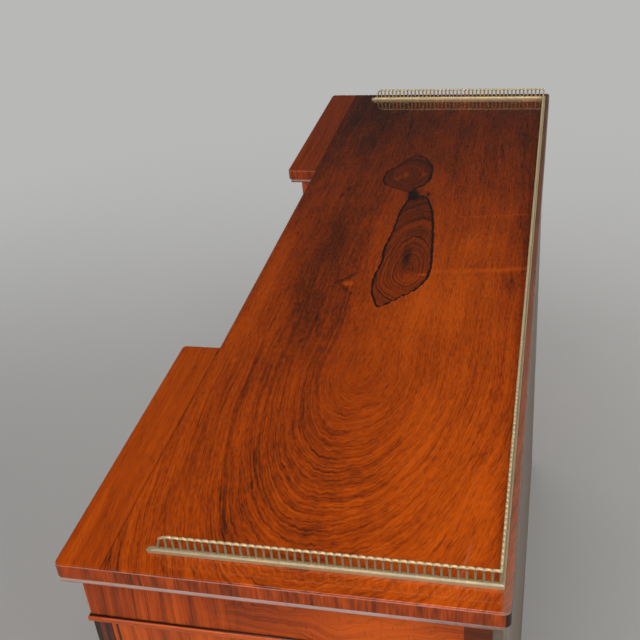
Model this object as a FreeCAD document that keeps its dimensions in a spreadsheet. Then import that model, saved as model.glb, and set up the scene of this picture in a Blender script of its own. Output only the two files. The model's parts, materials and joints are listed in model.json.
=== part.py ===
import FreeCAD, Part
import os
import re
import Sketcher

# Driving sizes in millimetres. The long way is X, the front is -Y and the floor is at height zero.
SIZES = {
    # Top board of inverted-breakfront plan: a wing at each end of a set-back middle
    "top_length": 1260,
    "top_depth": 416,
    "top_height": 900,
    "top_thickness": 16,
    "wing_length": 366,
    "recess_depth": 47,
    "top_corner_radius": 6,
    "top_arris": 1.6,
    # Hairline left open at each mitre
    "mitre_gap": 0.05,
    # How far the top reaches past the case below it
    "end_overhang": 8,
    "front_overhang": 20,
    "back_overhang": 6.5,
    # Bead moulding between the top and the frieze
    "bead_height": 8,
    "bead_inset": 3,
    "bead_depth": 25,
    "bead_radius": 3.6,
    # Frieze rails and the glue blocks in their corners
    "frieze_height": 48,
    "frieze_thickness": 20,
    "block_side": 34,
    "block_height": 40,
    # Astragal moulding under the frieze
    "astragal_height": 8,
    "astragal_proud": 3,
    "astragal_radius": 2.7,
    # Case boards, back boards and shelves
    "board_thickness": 18,
    "back_thickness": 10,
    "back_board_gap": 0.5,
    "shelf_thickness": 16,
    "shelf_level": 445,
    "shelf_setback": 26,
    "bearer_side": 16,
    # Plinth rails and the moulding on them
    "plinth_height": 80,
    "plinth_thickness": 24,
    "plinth_proud": 4,
    "plinth_moulding_height": 12,
    "plinth_moulding_proud": 3.5,
    "plinth_moulding_radius": 3.2,
    # Framed doors that close on the front edges of the case
    "door_thickness": 18,
    "door_gap": 0.6,
    "door_play": 2,
    "stile_width": 54,
    "top_rail_width": 54,
    "bottom_rail_width": 64,
    "panel_thickness": 8,
    "panel_play": 1,
    "groove_depth": 8,
    "panel_bead_width": 8,
    "panel_bead_height": 6,
    "panel_bead_radius": 3.5,
    # Butt hinges
    "hinge_height": 64,
    "hinge_margin": 90,
    "leaf_width": 15,
    "leaf_thickness": 1.6,
    "knuckle_radius": 3.2,
    "knuckle_clearance": 0.4,
    "knuckle_play": 0.3,
    "pin_radius": 1.5,
    "pin_play": 0.05,
    # Locks, their keys and escutcheons
    "key_level": 480,
    "key_setback": 17,
    "key_radius": 2.4,
    "key_play": 0.08,
    "key_collar": 4,
    "key_bow_radius": 6,
    "key_wire_radius": 1.5,
    "key_bit_length": 7,
    "key_bit_thickness": 2,
    "key_bit_width": 4,
    "lock_edge_gap": 3,
    "lock_width": 32,
    "lock_thickness": 13,
    "lock_drop": 14,
    "lock_rise": 34,
    "lock_chamber_reach": 8.5,
    "lock_chamber_depth": 7,
    "bolt_length": 25,
    "bolt_height": 14,
    "bolt_thickness": 5,
    "bolt_rise": 12,
    "bolt_play": 0.2,
    "bolt_throw": 10,
    "mortise_play": 0.8,
    "escutcheon_width": 16,
    "escutcheon_length": 28,
    "escutcheon_thickness": 1,
    "keyhole_drop": 8,
    # Brass gallery on three sides of the top
    "gallery_end_inset": 26,
    "gallery_back_inset": 7,
    "gallery_setback": 82.5,
    "gallery_base_width": 5.5,
    "gallery_base_height": 5,
    "gallery_base_radius": 2,
    "gallery_tip_radius": 2.5,
    "gallery_tip_height": 2,
    "gallery_height": 20.5,
    "gallery_pitch": 7.15,
    "gallery_wire": 1.6,
    "gallery_ramp_start": 9.5,
    "gallery_ramp_length": 10.5,
    "arcade_offset": 2.6,
    "arcade_thickness": 1.6,
    "gallery_stud_side": 3,
    "gallery_stud_length": 10,
    "gallery_stud_play": 0.1,
    # How far a cutting shape runs past the face that it opens
    "overrun": 5,
}

# Counts
BACK_BOARD_COUNT = 8
END_STUD_COUNT = 3
BACK_STUD_COUNT = 5

# Loops of the gallery: places along a loop's pitch and up its height, as shares of those sizes
CROWN_SHARES = ((0, 0.87), (0.5, 1))
LOOP_OPENING_SHARES = ((0, 0), (1, 0), (1, 0.8), (0.5, 1), (0, 0.8))
RAMP_SHARES = ((0, 0), (0.1, 0.36), (0.36, 0.72), (0.72, 0.9))
RAMP_OPENING_SHARES = ((0.2, 0), (1, 0), (1, 0.86), (0.74, 0.8), (0.42, 0.58), (0.26, 0.3))

# Ends of a strip: how many depths its back corner is drawn in
SQUARE = 0
OUTER = 1
INNER = -1

QUARTER_TURN = 90
THIRD_TURN = 120
HALF_TURN = 180
TINY = 0.001
UP = FreeCAD.Vector(0, 0, 1)
UPENDED = FreeCAD.Rotation(FreeCAD.Vector(1, 0, 0), QUARTER_TURN)
SIDEWAYS = FreeCAD.Rotation(FreeCAD.Vector(1, 1, 1), THIRD_TURN)
SIDES = (("left", -1), ("right", 1))

# Places shared by many pieces, written in the sheet's sizes
HALF_LENGTH = "(top_length / 2)"
TOP_FRONT = "(0 - top_depth / 2)"
TOP_UNDER = "(top_height - top_thickness)"
BEAD_UNDER = f"({TOP_UNDER} - bead_height)"
FRIEZE_UNDER = f"({BEAD_UNDER} - frieze_height)"
ASTRAGAL_UNDER = f"({FRIEZE_UNDER} - astragal_height)"
CASE_CEILING = f"({FRIEZE_UNDER} - board_thickness)"
CASE_FLOOR = "(plinth_height + board_thickness)"
END = f"({HALF_LENGTH} - end_overhang)"
END_INSIDE = f"({END} - board_thickness)"
RETURN = f"({HALF_LENGTH} - wing_length + end_overhang)"
RETURN_INSIDE = f"({RETURN} + board_thickness)"
WING_FRONT = f"({TOP_FRONT} + front_overhang)"
CENTRE_FRONT = f"({WING_FRONT} + recess_depth)"
BACK = "(top_depth / 2 - back_overhang)"
CASE_BACK = f"({BACK} - back_thickness)"
DOOR_BACK = f"({WING_FRONT} + door_thickness)"
CASE_FRONT = f"({DOOR_BACK} + door_gap)"
DOOR_LOW = "(plinth_height + plinth_moulding_height + door_play)"
DOOR_HIGH = f"({ASTRAGAL_UNDER} - door_play)"
SHELF_FRONT = f"({CENTRE_FRONT} + shelf_setback)"
HINGE_X = f"({END} + knuckle_radius + knuckle_clearance)"
HINGE_Y = f"({DOOR_BACK} + door_gap / 2)"
LOCK_EDGE = f"({RETURN_INSIDE} + lock_edge_gap)"
KEY_X = f"({LOCK_EDGE} + key_setback)"
BOLT_LOW = "(key_level + bolt_rise)"
BOLT_FRONT = f"({DOOR_BACK} + lock_thickness / 2 - bolt_thickness / 2)"
GALLERY_END = f"({HALF_LENGTH} - gallery_end_inset)"
GALLERY_BACK = "(top_depth / 2 - gallery_back_inset)"
GALLERY_FRONT = f"({TOP_FRONT} + gallery_setback)"
ARCADE_FOOT = "(top_height + gallery_base_height)"

doc = FreeCAD.newDocument("Chiffonier")
sheet = doc.addObject("Spreadsheet::Sheet", "Sizes")
for row, (alias, size) in enumerate(SIZES.items(), start=1):
    sheet.set(f"A{row}", alias)
    sheet.set(f"B{row}", str(size))
    sheet.setAlias(f"B{row}", alias)
doc.recompute()
nodes = {}


# Helpers that tie objects to the sheet

def bound(words):
    """The expression with each size's name pointed at the sheet."""
    return re.sub(r"[a-z_]+", lambda name: f"Sizes.{name.group(0)}", words)


def number(words):
    """The value of an expression now."""
    return float(sheet.evalExpression(words))


def keep(name, piece):
    """Makes an object one of the part's named sub-parts."""
    piece.Label = name
    nodes[name] = piece
    return piece


def place(piece, x, y, z, turn=None):
    """Turns an object and ties its origin to a place."""
    if turn is not None:
        piece.Placement = FreeCAD.Placement(FreeCAD.Vector(), turn)
    for axis, words in zip("xyz", (x, y, z)):
        piece.setExpression(f"Placement.Base.{axis}", bound(words))
    return piece


def turned(angle):
    return FreeCAD.Rotation(UP, angle)


def mirrored(sign, low, high):
    """A stretch of X on the right-hand side, or its mirror image on the left."""
    if sign > 0:
        return low, high
    return f"(0 - {high})", f"(0 - {low})"


def on_side(sign, x):
    return x if sign > 0 else f"(0 - {x})"


# Helpers that make solids

def board(name, x, y, z):
    """A square-edged board between its lowest and highest faces each way."""
    box = doc.addObject("Part::Box", name)
    for side, (low, high) in zip(("Length", "Width", "Height"), (x, y, z)):
        box.setExpression(side, bound(f"{high} - {low}"))
    return place(box, x[0], y[0], z[0])


def rod(name, radius, length, x, y, z, way="z"):
    """A cylinder that starts at a place and runs along one axis."""
    turns = {
        "x": FreeCAD.Rotation(FreeCAD.Vector(0, 1, 0), QUARTER_TURN),
        "y": FreeCAD.Rotation(FreeCAD.Vector(1, 0, 0), -QUARTER_TURN),
        "z": FreeCAD.Rotation(),
    }
    cylinder = doc.addObject("Part::Cylinder", name)
    cylinder.setExpression("Radius", bound(radius))
    cylinder.setExpression("Height", bound(length))
    return place(cylinder, x, y, z, turns[way])


def group(name, pieces):
    bundle = doc.addObject("Part::Compound", name)
    bundle.Links = pieces
    return bundle


def fused(name, pieces):
    joined = doc.addObject("Part::MultiFuse", name)
    joined.Shapes = pieces
    return joined


def cut(name, blank, tools):
    """The blank with every tool's shape taken out of it."""
    result = doc.addObject("Part::Cut", name)
    result.Base = blank
    result.Tool = tools[0] if len(tools) == 1 else group(f"{name}_cuts", tools)
    return result


def outline(sketch, corners):
    """Closes straight edges through the corners and ties each corner to the sheet."""
    points = [FreeCAD.Vector(number(x), number(y), 0) for x, y in corners]
    for here, there in zip(points, points[1:] + points[:1]):
        sketch.addGeometry(Part.LineSegment(here, there), False)
    for index in range(len(corners)):
        following = (index + 1) % len(corners)
        sketch.addConstraint(Sketcher.Constraint("Coincident", index, 2, following, 1))
    for index, corner in enumerate(corners):
        for axis, words in zip("XY", corner):
            rule = Sketcher.Constraint(f"Distance{axis}", -1, 1, index, 1, number(words))
            label = f"corner_{index}_{axis}"
            sketch.renameConstraint(sketch.addConstraint(rule), label)
            sketch.setExpression(f"Constraints.{label}", bound(words))


def plate(name, corners, thickness):
    """A body padded up from an outline on its own ground plane."""
    body = doc.addObject("PartDesign::Body", name)
    sketch = body.newObject("Sketcher::SketchObject", f"{name}_plan")
    ground = [plane for plane in body.Origin.OriginFeatures if plane.Role == "XY_Plane"]
    sketch.AttachmentSupport = [(ground[0], "")]
    sketch.MapMode = "FlatFace"
    outline(sketch, corners)
    pad = body.newObject("PartDesign::Pad", f"{name}_pad")
    pad.Profile = sketch
    pad.setExpression("Length", bound(thickness))
    doc.recompute()
    return body


def softened(body, feature, measure, size, wanted):
    """Takes off the edges of a body whose two end points pass a test."""
    solid = body.Tip
    edges = [f"Edge{index}" for index, edge in enumerate(solid.Shape.Edges, start=1)
             if wanted(edge.Vertexes[0].Point, edge.Vertexes[-1].Point)]
    dressing = body.newObject(f"PartDesign::{feature}", f"{body.Name}_{feature.lower()}")
    dressing.Base = (solid, edges)
    dressing.setExpression(measure, bound(size))
    doc.recompute()
    return body


def rounded(body, radius, wanted):
    return softened(body, "Fillet", "Radius", radius, wanted)


def chamfered(body, size, wanted):
    return softened(body, "Chamfer", "Size", size, wanted)


def near(one, other):
    return abs(one - other) < TINY


def upright(one, other):
    return near(one.x, other.x) and near(one.y, other.y)


def strip(name, length, depth, height, ends, tail=None):
    """A rail or moulding with its show face along its own X axis, mitred at its ends."""
    start, stop = ("0" if end == SQUARE else "mitre_gap" for end in ends)
    left = f"{start} + {ends[0]} * {depth}"
    right = f"{length} - {stop} - {ends[1]} * {depth}"
    corners = [(start, "0"), (f"{length} - {stop}", "0"), (right, depth), (left, depth)]
    if tail is not None:
        corners[3:3] = [(right, f"{depth} + {tail}"), (left, f"{depth} + {tail}")]
    return plate(name, corners, height)


def nosed(body, height, radius, both=True):
    """Rounds the upper, or the upper and lower, arrises of a strip's show face."""
    levels = (0, number(height)) if both else (number(height),)

    def on_arris(one, other):
        on_face = near(one.y, 0) and near(other.y, 0)
        return on_face and any(near(one.z, level) and near(other.z, level) for level in levels)

    return rounded(body, radius, on_arris)


def ring(prefix, end_proud, front_proud, depth, low, height, back, tail=None):
    """Strips that follow the plan of the case, from the left end round the front to the right end."""
    end = f"({END} + {end_proud})"
    side = f"({RETURN} - {end_proud})"
    front = f"({WING_FRONT} - {front_proud})"
    centre = f"({CENTRE_FRONT} - {front_proud})"
    along = f"({back} - {front})"
    across = f"({end} - {side})"
    into = f"({centre} - {front})"
    runs = {
        "left_end": (along, (SQUARE, OUTER), None, f"0 - {end}", back, -QUARTER_TURN),
        "left_wing": (across, (OUTER, OUTER), tail, f"0 - {end}", front, 0),
        "left_return": (into, (OUTER, INNER), None, f"0 - {side}", front, QUARTER_TURN),
        "centre": (f"(2 * {side})", (INNER, INNER), None, f"0 - {side}", centre, 0),
        "right_return": (into, (INNER, OUTER), None, side, centre, -QUARTER_TURN),
        "right_wing": (across, (OUTER, OUTER), tail, side, front, 0),
        "right_end": (along, (OUTER, SQUARE), None, end, front, QUARTER_TURN),
    }
    strips = {}
    for where, (length, ends, extra, x, y, angle) in runs.items():
        piece = strip(f"{prefix}_{where}", length, depth, height, ends, extra)
        strips[where] = place(piece, x, y, low, turned(angle))
    return strips


def breakfront(name, end, side, front, centre, back, thickness):
    """A board whose front steps back in the middle."""
    corners = [(f"0 - {end}", front), (f"0 - {side}", front), (f"0 - {side}", centre), (side, centre),
               (side, front), (end, front), (end, back), (f"0 - {end}", back)]
    return plate(name, corners, thickness)


# Brass gallery: base strips mitred at the back corners, with pierced arcades standing on them

def gallery_bases():
    along = f"({GALLERY_BACK} - {GALLERY_FRONT})"
    runs = {
        "left": (along, (OUTER, SQUARE), f"0 - {GALLERY_END}", GALLERY_BACK, -QUARTER_TURN),
        "right": (along, (SQUARE, OUTER), GALLERY_END, GALLERY_FRONT, QUARTER_TURN),
        "back": (f"(2 * {GALLERY_END})", (OUTER, OUTER), GALLERY_END, GALLERY_BACK, HALF_TURN),
    }
    for where, (length, ends, x, y, angle) in runs.items():
        base = strip(f"base_{where}", length, "gallery_base_width", "gallery_base_height", ends)
        if SQUARE in ends:
            tip = 0 if ends[0] == SQUARE else number(length)
            rounded(base, "gallery_tip_radius",
                    lambda one, other: upright(one, other) and near(one.x, tip))
        nosed(base, "gallery_base_height", "gallery_base_radius", both=False)
        place(base, x, y, "top_height", turned(angle))
        if SQUARE in ends:
            base = cut(f"sloped_{where}", base, [gallery_slope(where)])
        studs = gallery_studs(where, "stud", "(gallery_stud_side / 2)")
        keep(f"gallery_base_{where}", fused(f"studded_{where}", [base] + studs))


def gallery_slope(where):
    """What is taken off a base's free end, which slopes from the arcade's foot down to a low tip."""
    tip = "(top_height + gallery_tip_height)"
    past = f"({GALLERY_FRONT} - overrun)"
    above = f"({ARCADE_FOOT} + overrun)"
    foot = f"({GALLERY_FRONT} + gallery_ramp_start)"
    corners = [(past, tip), (GALLERY_FRONT, tip), (foot, ARCADE_FOOT), (foot, above), (past, above)]
    reach = f"({GALLERY_END} + overrun)"
    wedge = plate(f"slope_{where}", corners, f"(2 * {reach})")
    return place(wedge, f"0 - {reach}", "0", "0", SIDEWAYS)


def polygon(points):
    corners = [FreeCAD.Vector(x, 0, z) for x, z in points]
    return Part.makePolygon(corners + corners[:1])


def arcade(name, run, ramp, x, y, angle):
    """A pierced strip of round-headed loops, with a ramped half loop where it starts free."""
    height = number("gallery_height - gallery_base_height")
    wire = number("gallery_wire")
    count = round((run - ramp) / number("gallery_pitch"))
    pitch = (run - ramp) / count
    head = height - 2 * wire
    top_edge = [(ramp * along, height * up) for along, up in RAMP_SHARES] if ramp else [(0, 0)]
    openings = []
    if ramp:
        room = ramp - wire / 2
        openings.append([(room * along, wire + head * up) for along, up in RAMP_OPENING_SHARES])
    for loop in range(count):
        start = ramp + loop * pitch
        top_edge += [(start + pitch * along, height * up) for along, up in CROWN_SHARES]
        room = pitch - wire
        openings.append([(start + wire / 2 + room * along, wire + head * up)
                         for along, up in LOOP_OPENING_SHARES])
    top_edge += [(run, height * CROWN_SHARES[0][1]), (run, 0)]
    pierced = Part.makeFace([polygon(top_edge)] + [polygon(hole) for hole in openings],
                            "Part::FaceMakerBullseye")
    piece = doc.addObject("Part::Feature", f"arcade_{name}")
    piece.Shape = pierced.extrude(FreeCAD.Vector(0, number("arcade_thickness"), 0))
    corner = FreeCAD.Vector(number(x), number(y), number(ARCADE_FOOT))
    piece.Placement = FreeCAD.Placement(corner, turned(angle))
    return keep(f"gallery_arcade_{name}", piece)


def gallery_arcades():
    outer = f"({GALLERY_END} - arcade_offset)"
    inner = f"({outer} - arcade_thickness)"
    front = f"({GALLERY_FRONT} + gallery_ramp_start)"
    run = number(f"{GALLERY_BACK} - arcade_offset - {front}")
    ramp = number("gallery_ramp_length")
    arcade("left", run, ramp, f"0 - {inner}", front, QUARTER_TURN)
    arcade("right", run, ramp, outer, front, QUARTER_TURN)
    arcade("back", number(f"2 * {inner}"), 0, f"0 - {inner}",
           f"{GALLERY_BACK} - arcade_offset - arcade_thickness", 0)


def gallery_studs(where, prefix, half):
    """Square studs cast under one base of the gallery, or the holes for them, at even steps along it."""
    middle = "gallery_base_width / 2"
    low = "(top_height - gallery_stud_length)"
    spots = []
    if where == "back":
        for step in range(BACK_STUD_COUNT):
            reach = f"({step} + 1 / 2) / {BACK_STUD_COUNT} * 2 * {GALLERY_END}"
            spots.append((f"({reach} - {GALLERY_END})", f"({GALLERY_BACK} - {middle})"))
    else:
        sign = dict(SIDES)[where]
        for step in range(END_STUD_COUNT):
            reach = f"({step} + 1 / 2) / {END_STUD_COUNT} * ({GALLERY_BACK} - {GALLERY_FRONT})"
            spots.append((on_side(sign, f"({GALLERY_END} - {middle})"), f"({GALLERY_FRONT} + {reach})"))
    return [board(f"{where}_{prefix}_{index}", (f"({x} - {half})", f"({x} + {half})"),
                  (f"({y} - {half})", f"({y} + {half})"), (low, "top_height"))
            for index, (x, y) in enumerate(spots)]


# Top, mouldings and frieze

def top():
    side = f"({HALF_LENGTH} - wing_length)"
    centre = f"({TOP_FRONT} + recess_depth)"
    blank = breakfront("top_blank", HALF_LENGTH, side, TOP_FRONT, centre, "(top_depth / 2)", "top_thickness")
    half = number(HALF_LENGTH)
    front = number(TOP_FRONT)
    thickness = number("top_thickness")

    def at_outer_corner(one, other):
        return upright(one, other) and (near(abs(one.x), half) or near(one.y, front))

    def on_upper_arris(one, other):
        return near(one.z, thickness) and near(other.z, thickness)

    rounded(blank, "top_corner_radius", at_outer_corner)
    chamfered(blank, "top_arris", on_upper_arris)
    place(blank, "0", "0", TOP_UNDER)
    holes = []
    for where in ("left", "right", "back"):
        holes += gallery_studs(where, "stud_hole", "(gallery_stud_side / 2 + gallery_stud_play)")
    keep("top_board", cut("top", blank, holes))


def mouldings():
    """Beads, astragals and plinth mouldings in mitred lengths, one group of each."""
    beads = ring("bead", "(end_overhang - bead_inset)", "(front_overhang - bead_inset)", "bead_depth",
                 BEAD_UNDER, "bead_height", BACK)
    astragals = ring("astragal", "astragal_proud", "astragal_proud", "astragal_proud",
                     ASTRAGAL_UNDER, "astragal_height", CASE_BACK, "(door_thickness + door_gap)")
    plinth_mouldings = ring("plinth_mould", "plinth_moulding_proud", "plinth_moulding_proud",
                            "plinth_moulding_proud", "plinth_height", "plinth_moulding_height",
                            CASE_BACK, "(door_thickness + door_gap)")
    for piece in beads.values():
        nosed(piece, "bead_height", "bead_radius")
    for piece in astragals.values():
        nosed(piece, "astragal_height", "astragal_radius")
    for piece in plinth_mouldings.values():
        nosed(piece, "plinth_moulding_height", "plinth_moulding_radius", both=False)
    keep("bead_moulding", group("beads", list(beads.values())))
    keep("astragal_moulding", group("astragals", list(astragals.values())))
    keep("plinth_moulding", group("plinth_moulds", list(plinth_mouldings.values())))


def frieze():
    rails = ring("frieze_rail", "0", "0", "frieze_thickness", FRIEZE_UNDER, "frieze_height", CASE_BACK)
    for where in ("left_end", "right_end", "left_wing", "right_wing", "centre"):
        keep(f"frieze_{where}", rails[where])
    keep("frieze_returns", group("returns", [rails["left_return"], rails["right_return"]]))
    inside = f"({END} - frieze_thickness)"
    keep("frieze_back", board("frieze_back_rail", (f"(0 - {inside})", inside),
                              (f"({CASE_BACK} - frieze_thickness)", CASE_BACK), (FRIEZE_UNDER, TOP_UNDER)))


def corner_blocks():
    """Three-cornered glue blocks inside the frieze, on the case top."""
    end = f"({END} - frieze_thickness)"
    front = f"({WING_FRONT} + frieze_thickness)"
    back = f"({CASE_BACK} - frieze_thickness)"
    side = f"({RETURN} + frieze_thickness)"
    spots = [(f"0 - {end}", front, 0), (f"0 - {side}", front, QUARTER_TURN), (side, front, 0),
             (end, front, QUARTER_TURN), (end, back, HALF_TURN), (f"0 - {end}", back, -QUARTER_TURN)]
    blocks = []
    for index, (x, y, angle) in enumerate(spots):
        corners = [("0", "0"), ("block_side", "0"), ("0", "block_side")]
        block = plate(f"block_{index}", corners, "block_height")
        blocks.append(place(block, x, y, FRIEZE_UNDER, turned(angle)))
    keep("corner_blocks", group("blocks", blocks))


# Case boards, back, shelves and plinth

def case_boards():
    for name, low in (("case_bottom", "plinth_height"), ("case_top", CASE_CEILING)):
        piece = breakfront(f"{name}_board", END_INSIDE, RETURN, CASE_FRONT, CENTRE_FRONT, CASE_BACK,
                           "board_thickness")
        keep(name, place(piece, "0", "0", low))


def case_uprights(side, sign):
    """An end panel with its hinge recesses, and a partition with the mortise for the bolt."""
    deep = (CASE_FRONT, CASE_BACK)
    blank = board(f"{side}_end_blank", mirrored(sign, END_INSIDE, END), deep, ("plinth_height", FRIEZE_UNDER))
    recesses = [leaf_plate(f"{side}_case_recess_{index}", sign, CASE_FRONT, low)
                for index, low in enumerate(hinge_lows())]
    keep(f"{side}_end_panel", cut(f"{side}_end", blank, recesses))
    blank = board(f"{side}_partition_blank", mirrored(sign, RETURN, RETURN_INSIDE), deep,
                  (CASE_FLOOR, CASE_CEILING))
    reach = f"({RETURN_INSIDE} + lock_edge_gap - bolt_throw - mortise_play)"
    mortise = board(f"{side}_mortise", mirrored(sign, reach, f"({RETURN_INSIDE} + overrun)"),
                    (f"({BOLT_FRONT} - mortise_play)", f"({BOLT_FRONT} + bolt_thickness + mortise_play)"),
                    (f"({BOLT_LOW} - mortise_play)", f"({BOLT_LOW} + bolt_height + mortise_play)"))
    keep(f"{side}_partition", cut(f"{side}_upright", blank, [mortise]))


def back_boards():
    width = f"(2 * {END} / {BACK_BOARD_COUNT})"
    boards = []
    for index in range(BACK_BOARD_COUNT):
        start = f"({index} * {width} - {END})"
        boards.append(board(f"back_board_{index}",
                            (f"({start} + back_board_gap / 2)", f"({start} + {width} - back_board_gap / 2)"),
                            (CASE_BACK, BACK), ("plinth_height", BEAD_UNDER)))
    keep("back_boards", group("backs", boards))


def shelves():
    """A shelf in each cupboard and in the open middle, each on a pair of bearers."""
    bays = {
        "left": (f"(0 - {END_INSIDE})", f"(0 - {RETURN_INSIDE})"),
        "centre": (f"(0 - {RETURN})", RETURN),
        "right": (RETURN_INSIDE, END_INSIDE),
    }
    deep = (SHELF_FRONT, CASE_BACK)
    under = ("(shelf_level - bearer_side)", "shelf_level")
    bearers = []
    for bay, (low, high) in bays.items():
        keep(f"{bay}_shelf", board(f"{bay}_shelf_board", (low, high), deep,
                                   ("shelf_level", "(shelf_level + shelf_thickness)")))
        bearers.append(board(f"{bay}_bearer_low", (low, f"({low} + bearer_side)"), deep, under))
        bearers.append(board(f"{bay}_bearer_high", (f"({high} - bearer_side)", high), deep, under))
    keep("shelf_bearers", group("bearers", bearers))


def plinth():
    rails = ring("plinth_rail", "plinth_proud", "plinth_proud", "plinth_thickness", "0",
                 "plinth_height", BACK)
    keep("plinth_centre", rails["centre"])
    for where in ("end", "wing", "return"):
        pair = [rails[f"left_{where}"], rails[f"right_{where}"]]
        keep(f"plinth_{where}s", group(f"plinth_pair_{where}", pair))
    inside = f"({END} + plinth_proud - plinth_thickness)"
    keep("plinth_back", board("plinth_back_rail", (f"(0 - {inside})", inside),
                              (f"({BACK} - plinth_thickness)", BACK), ("0", "plinth_height")))


# Hinges

def hinge_lows():
    """The lower ends of a door's two hinges."""
    return (f"({DOOR_LOW} + hinge_margin)", f"({DOOR_HIGH} - hinge_margin - hinge_height)")


def leaf_plate(name, sign, front, low):
    """The flat of a hinge leaf, which is also the recess that it lies in."""
    return board(name, mirrored(sign, f"({END} - leaf_width)", END), (front, f"({front} + leaf_thickness)"),
                 (low, f"({low} + hinge_height)"))


def leaf(name, sign, front, low, knuckles):
    """A hinge leaf with the knuckles that its stretches of height give it."""
    pieces = [leaf_plate(f"{name}_flat", sign, front, low)]
    for index, (start, stop) in enumerate(knuckles):
        pieces.append(board(f"{name}_neck_{index}", mirrored(sign, END, HINGE_X),
                            (front, f"({front} + leaf_thickness)"), (start, stop)))
        pieces.append(rod(f"{name}_knuckle_{index}", "knuckle_radius", f"({stop} - {start})",
                          on_side(sign, HINGE_X), HINGE_Y, start))
    return pieces


def hinges():
    """Butt hinges: the case leaf holds the pin fast, and the door leaf is bored to turn on it."""
    case_leaves = []
    third = "hinge_height / 3"
    for side, sign in SIDES:
        x = on_side(sign, HINGE_X)
        door_leaves = []
        for index, low in enumerate(hinge_lows()):
            outer = [(low, f"({low} + {third})"), (f"({low} + 2 * {third})", f"({low} + hinge_height)")]
            middle = [(f"({low} + {third} + knuckle_play)", f"({low} + 2 * {third} - knuckle_play)")]
            name = f"{side}_case_leaf_{index}"
            pin = rod(f"{name}_pin", "pin_radius", "hinge_height", x, HINGE_Y, low)
            case_leaves.append(fused(f"{name}_pinned", leaf(name, sign, CASE_FRONT, low, outer) + [pin]))
            name = f"{side}_door_leaf_{index}"
            solid = fused(f"{name}_solid", leaf(name, sign, f"({DOOR_BACK} - leaf_thickness)", low, middle))
            bore = rod(f"{name}_bore", "(pin_radius + pin_play)", "hinge_height", x, HINGE_Y, low)
            door_leaves.append(cut(f"{name}_bored", solid, [bore]))
        keep(f"{side}_door_hinge_leaves", group(f"{side}_leaves", door_leaves))
    keep("case_hinge_leaves", group("case_leaves", case_leaves))


# Doors and their locks

def keyhole(name, sign, low, high):
    """The shape that passes a key, from one depth to another."""
    x = on_side(sign, KEY_X)
    hole = rod(f"{name}_round", "(key_radius + key_play)", f"({high} - {low})", x, low, "key_level", "y")
    half = "(key_bit_thickness / 2 + key_play)"
    slot = board(f"{name}_slot", (f"({x} - {half})", f"({x} + {half})"), (low, high),
                 ("(key_level - keyhole_drop)", "key_level"))
    return fused(f"{name}_shape", [hole, slot])


def door_frame(side, sign):
    """Grooved stiles and rails, joined by stub tenons, round a loose panel."""
    groove = (f"({WING_FRONT} + door_thickness / 2 - panel_thickness / 2)",
              f"({WING_FRONT} + door_thickness / 2 + panel_thickness / 2)")
    deep = (WING_FRONT, DOOR_BACK)
    tall = (DOOR_LOW, DOOR_HIGH)
    lock_side = f"({RETURN} + stile_width)"
    hinge_side = f"({END} - stile_width)"
    lower = f"({DOOR_LOW} + bottom_rail_width)"
    upper = f"({DOOR_HIGH} - top_rail_width)"

    blank = board(f"{side}_lock_stile_blank", mirrored(sign, RETURN, lock_side), deep, tall)
    slot = board(f"{side}_lock_stile_groove", mirrored(sign, f"({lock_side} - groove_depth)",
                                                       f"({lock_side} + overrun)"), groove, tall)
    hole = keyhole(f"{side}_stile_keyhole", sign, f"({WING_FRONT} - overrun)", f"({DOOR_BACK} + overrun)")
    tool = fused(f"{side}_lock_stile_tool", [slot, hole])
    keep(f"{side}_lock_stile", cut(f"{side}_lock_stile_cut", blank, [tool]))

    blank = board(f"{side}_hinge_stile_blank", mirrored(sign, hinge_side, END), deep, tall)
    slot = board(f"{side}_hinge_stile_groove", mirrored(sign, f"({hinge_side} - overrun)",
                                                        f"({hinge_side} + groove_depth)"), groove, tall)
    recesses = [leaf_plate(f"{side}_door_recess_{index}", sign, f"({DOOR_BACK} - leaf_thickness)", low)
                for index, low in enumerate(hinge_lows())]
    keep(f"{side}_hinge_stile", cut(f"{side}_hinge_stile_cut", blank, [slot] + recesses))

    between = mirrored(sign, lock_side, hinge_side)
    tenoned = mirrored(sign, f"({lock_side} - groove_depth)", f"({hinge_side} + groove_depth)")
    rails = {
        "bottom_rail": ((DOOR_LOW, lower), (f"({lower} - groove_depth)", f"({lower} + overrun)"),
                        (DOOR_LOW, f"({lower} - groove_depth)")),
        "top_rail": ((upper, DOOR_HIGH), (f"({upper} - overrun)", f"({upper} + groove_depth)"),
                     (f"({upper} + groove_depth)", DOOR_HIGH)),
    }
    for rail, (height, slot_height, tenon_height) in rails.items():
        blank = board(f"{side}_{rail}_blank", between, deep, height)
        tenons = board(f"{side}_{rail}_tenons", tenoned, groove, tenon_height)
        slot = board(f"{side}_{rail}_groove", tenoned, groove, slot_height)
        whole = fused(f"{side}_{rail}_whole", [blank, tenons])
        keep(f"{side}_{rail}", cut(f"{side}_{rail}_cut", whole, [slot]))

    reach = "groove_depth - panel_play"
    keep(f"{side}_panel", board(f"{side}_panel_board",
                                mirrored(sign, f"({lock_side} - ({reach}))", f"({hinge_side} + ({reach}))"),
                                groove, (f"({lower} - ({reach}))", f"({upper} + ({reach}))")))
    panel_bead(side, between, groove[0], lower, upper)


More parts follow.
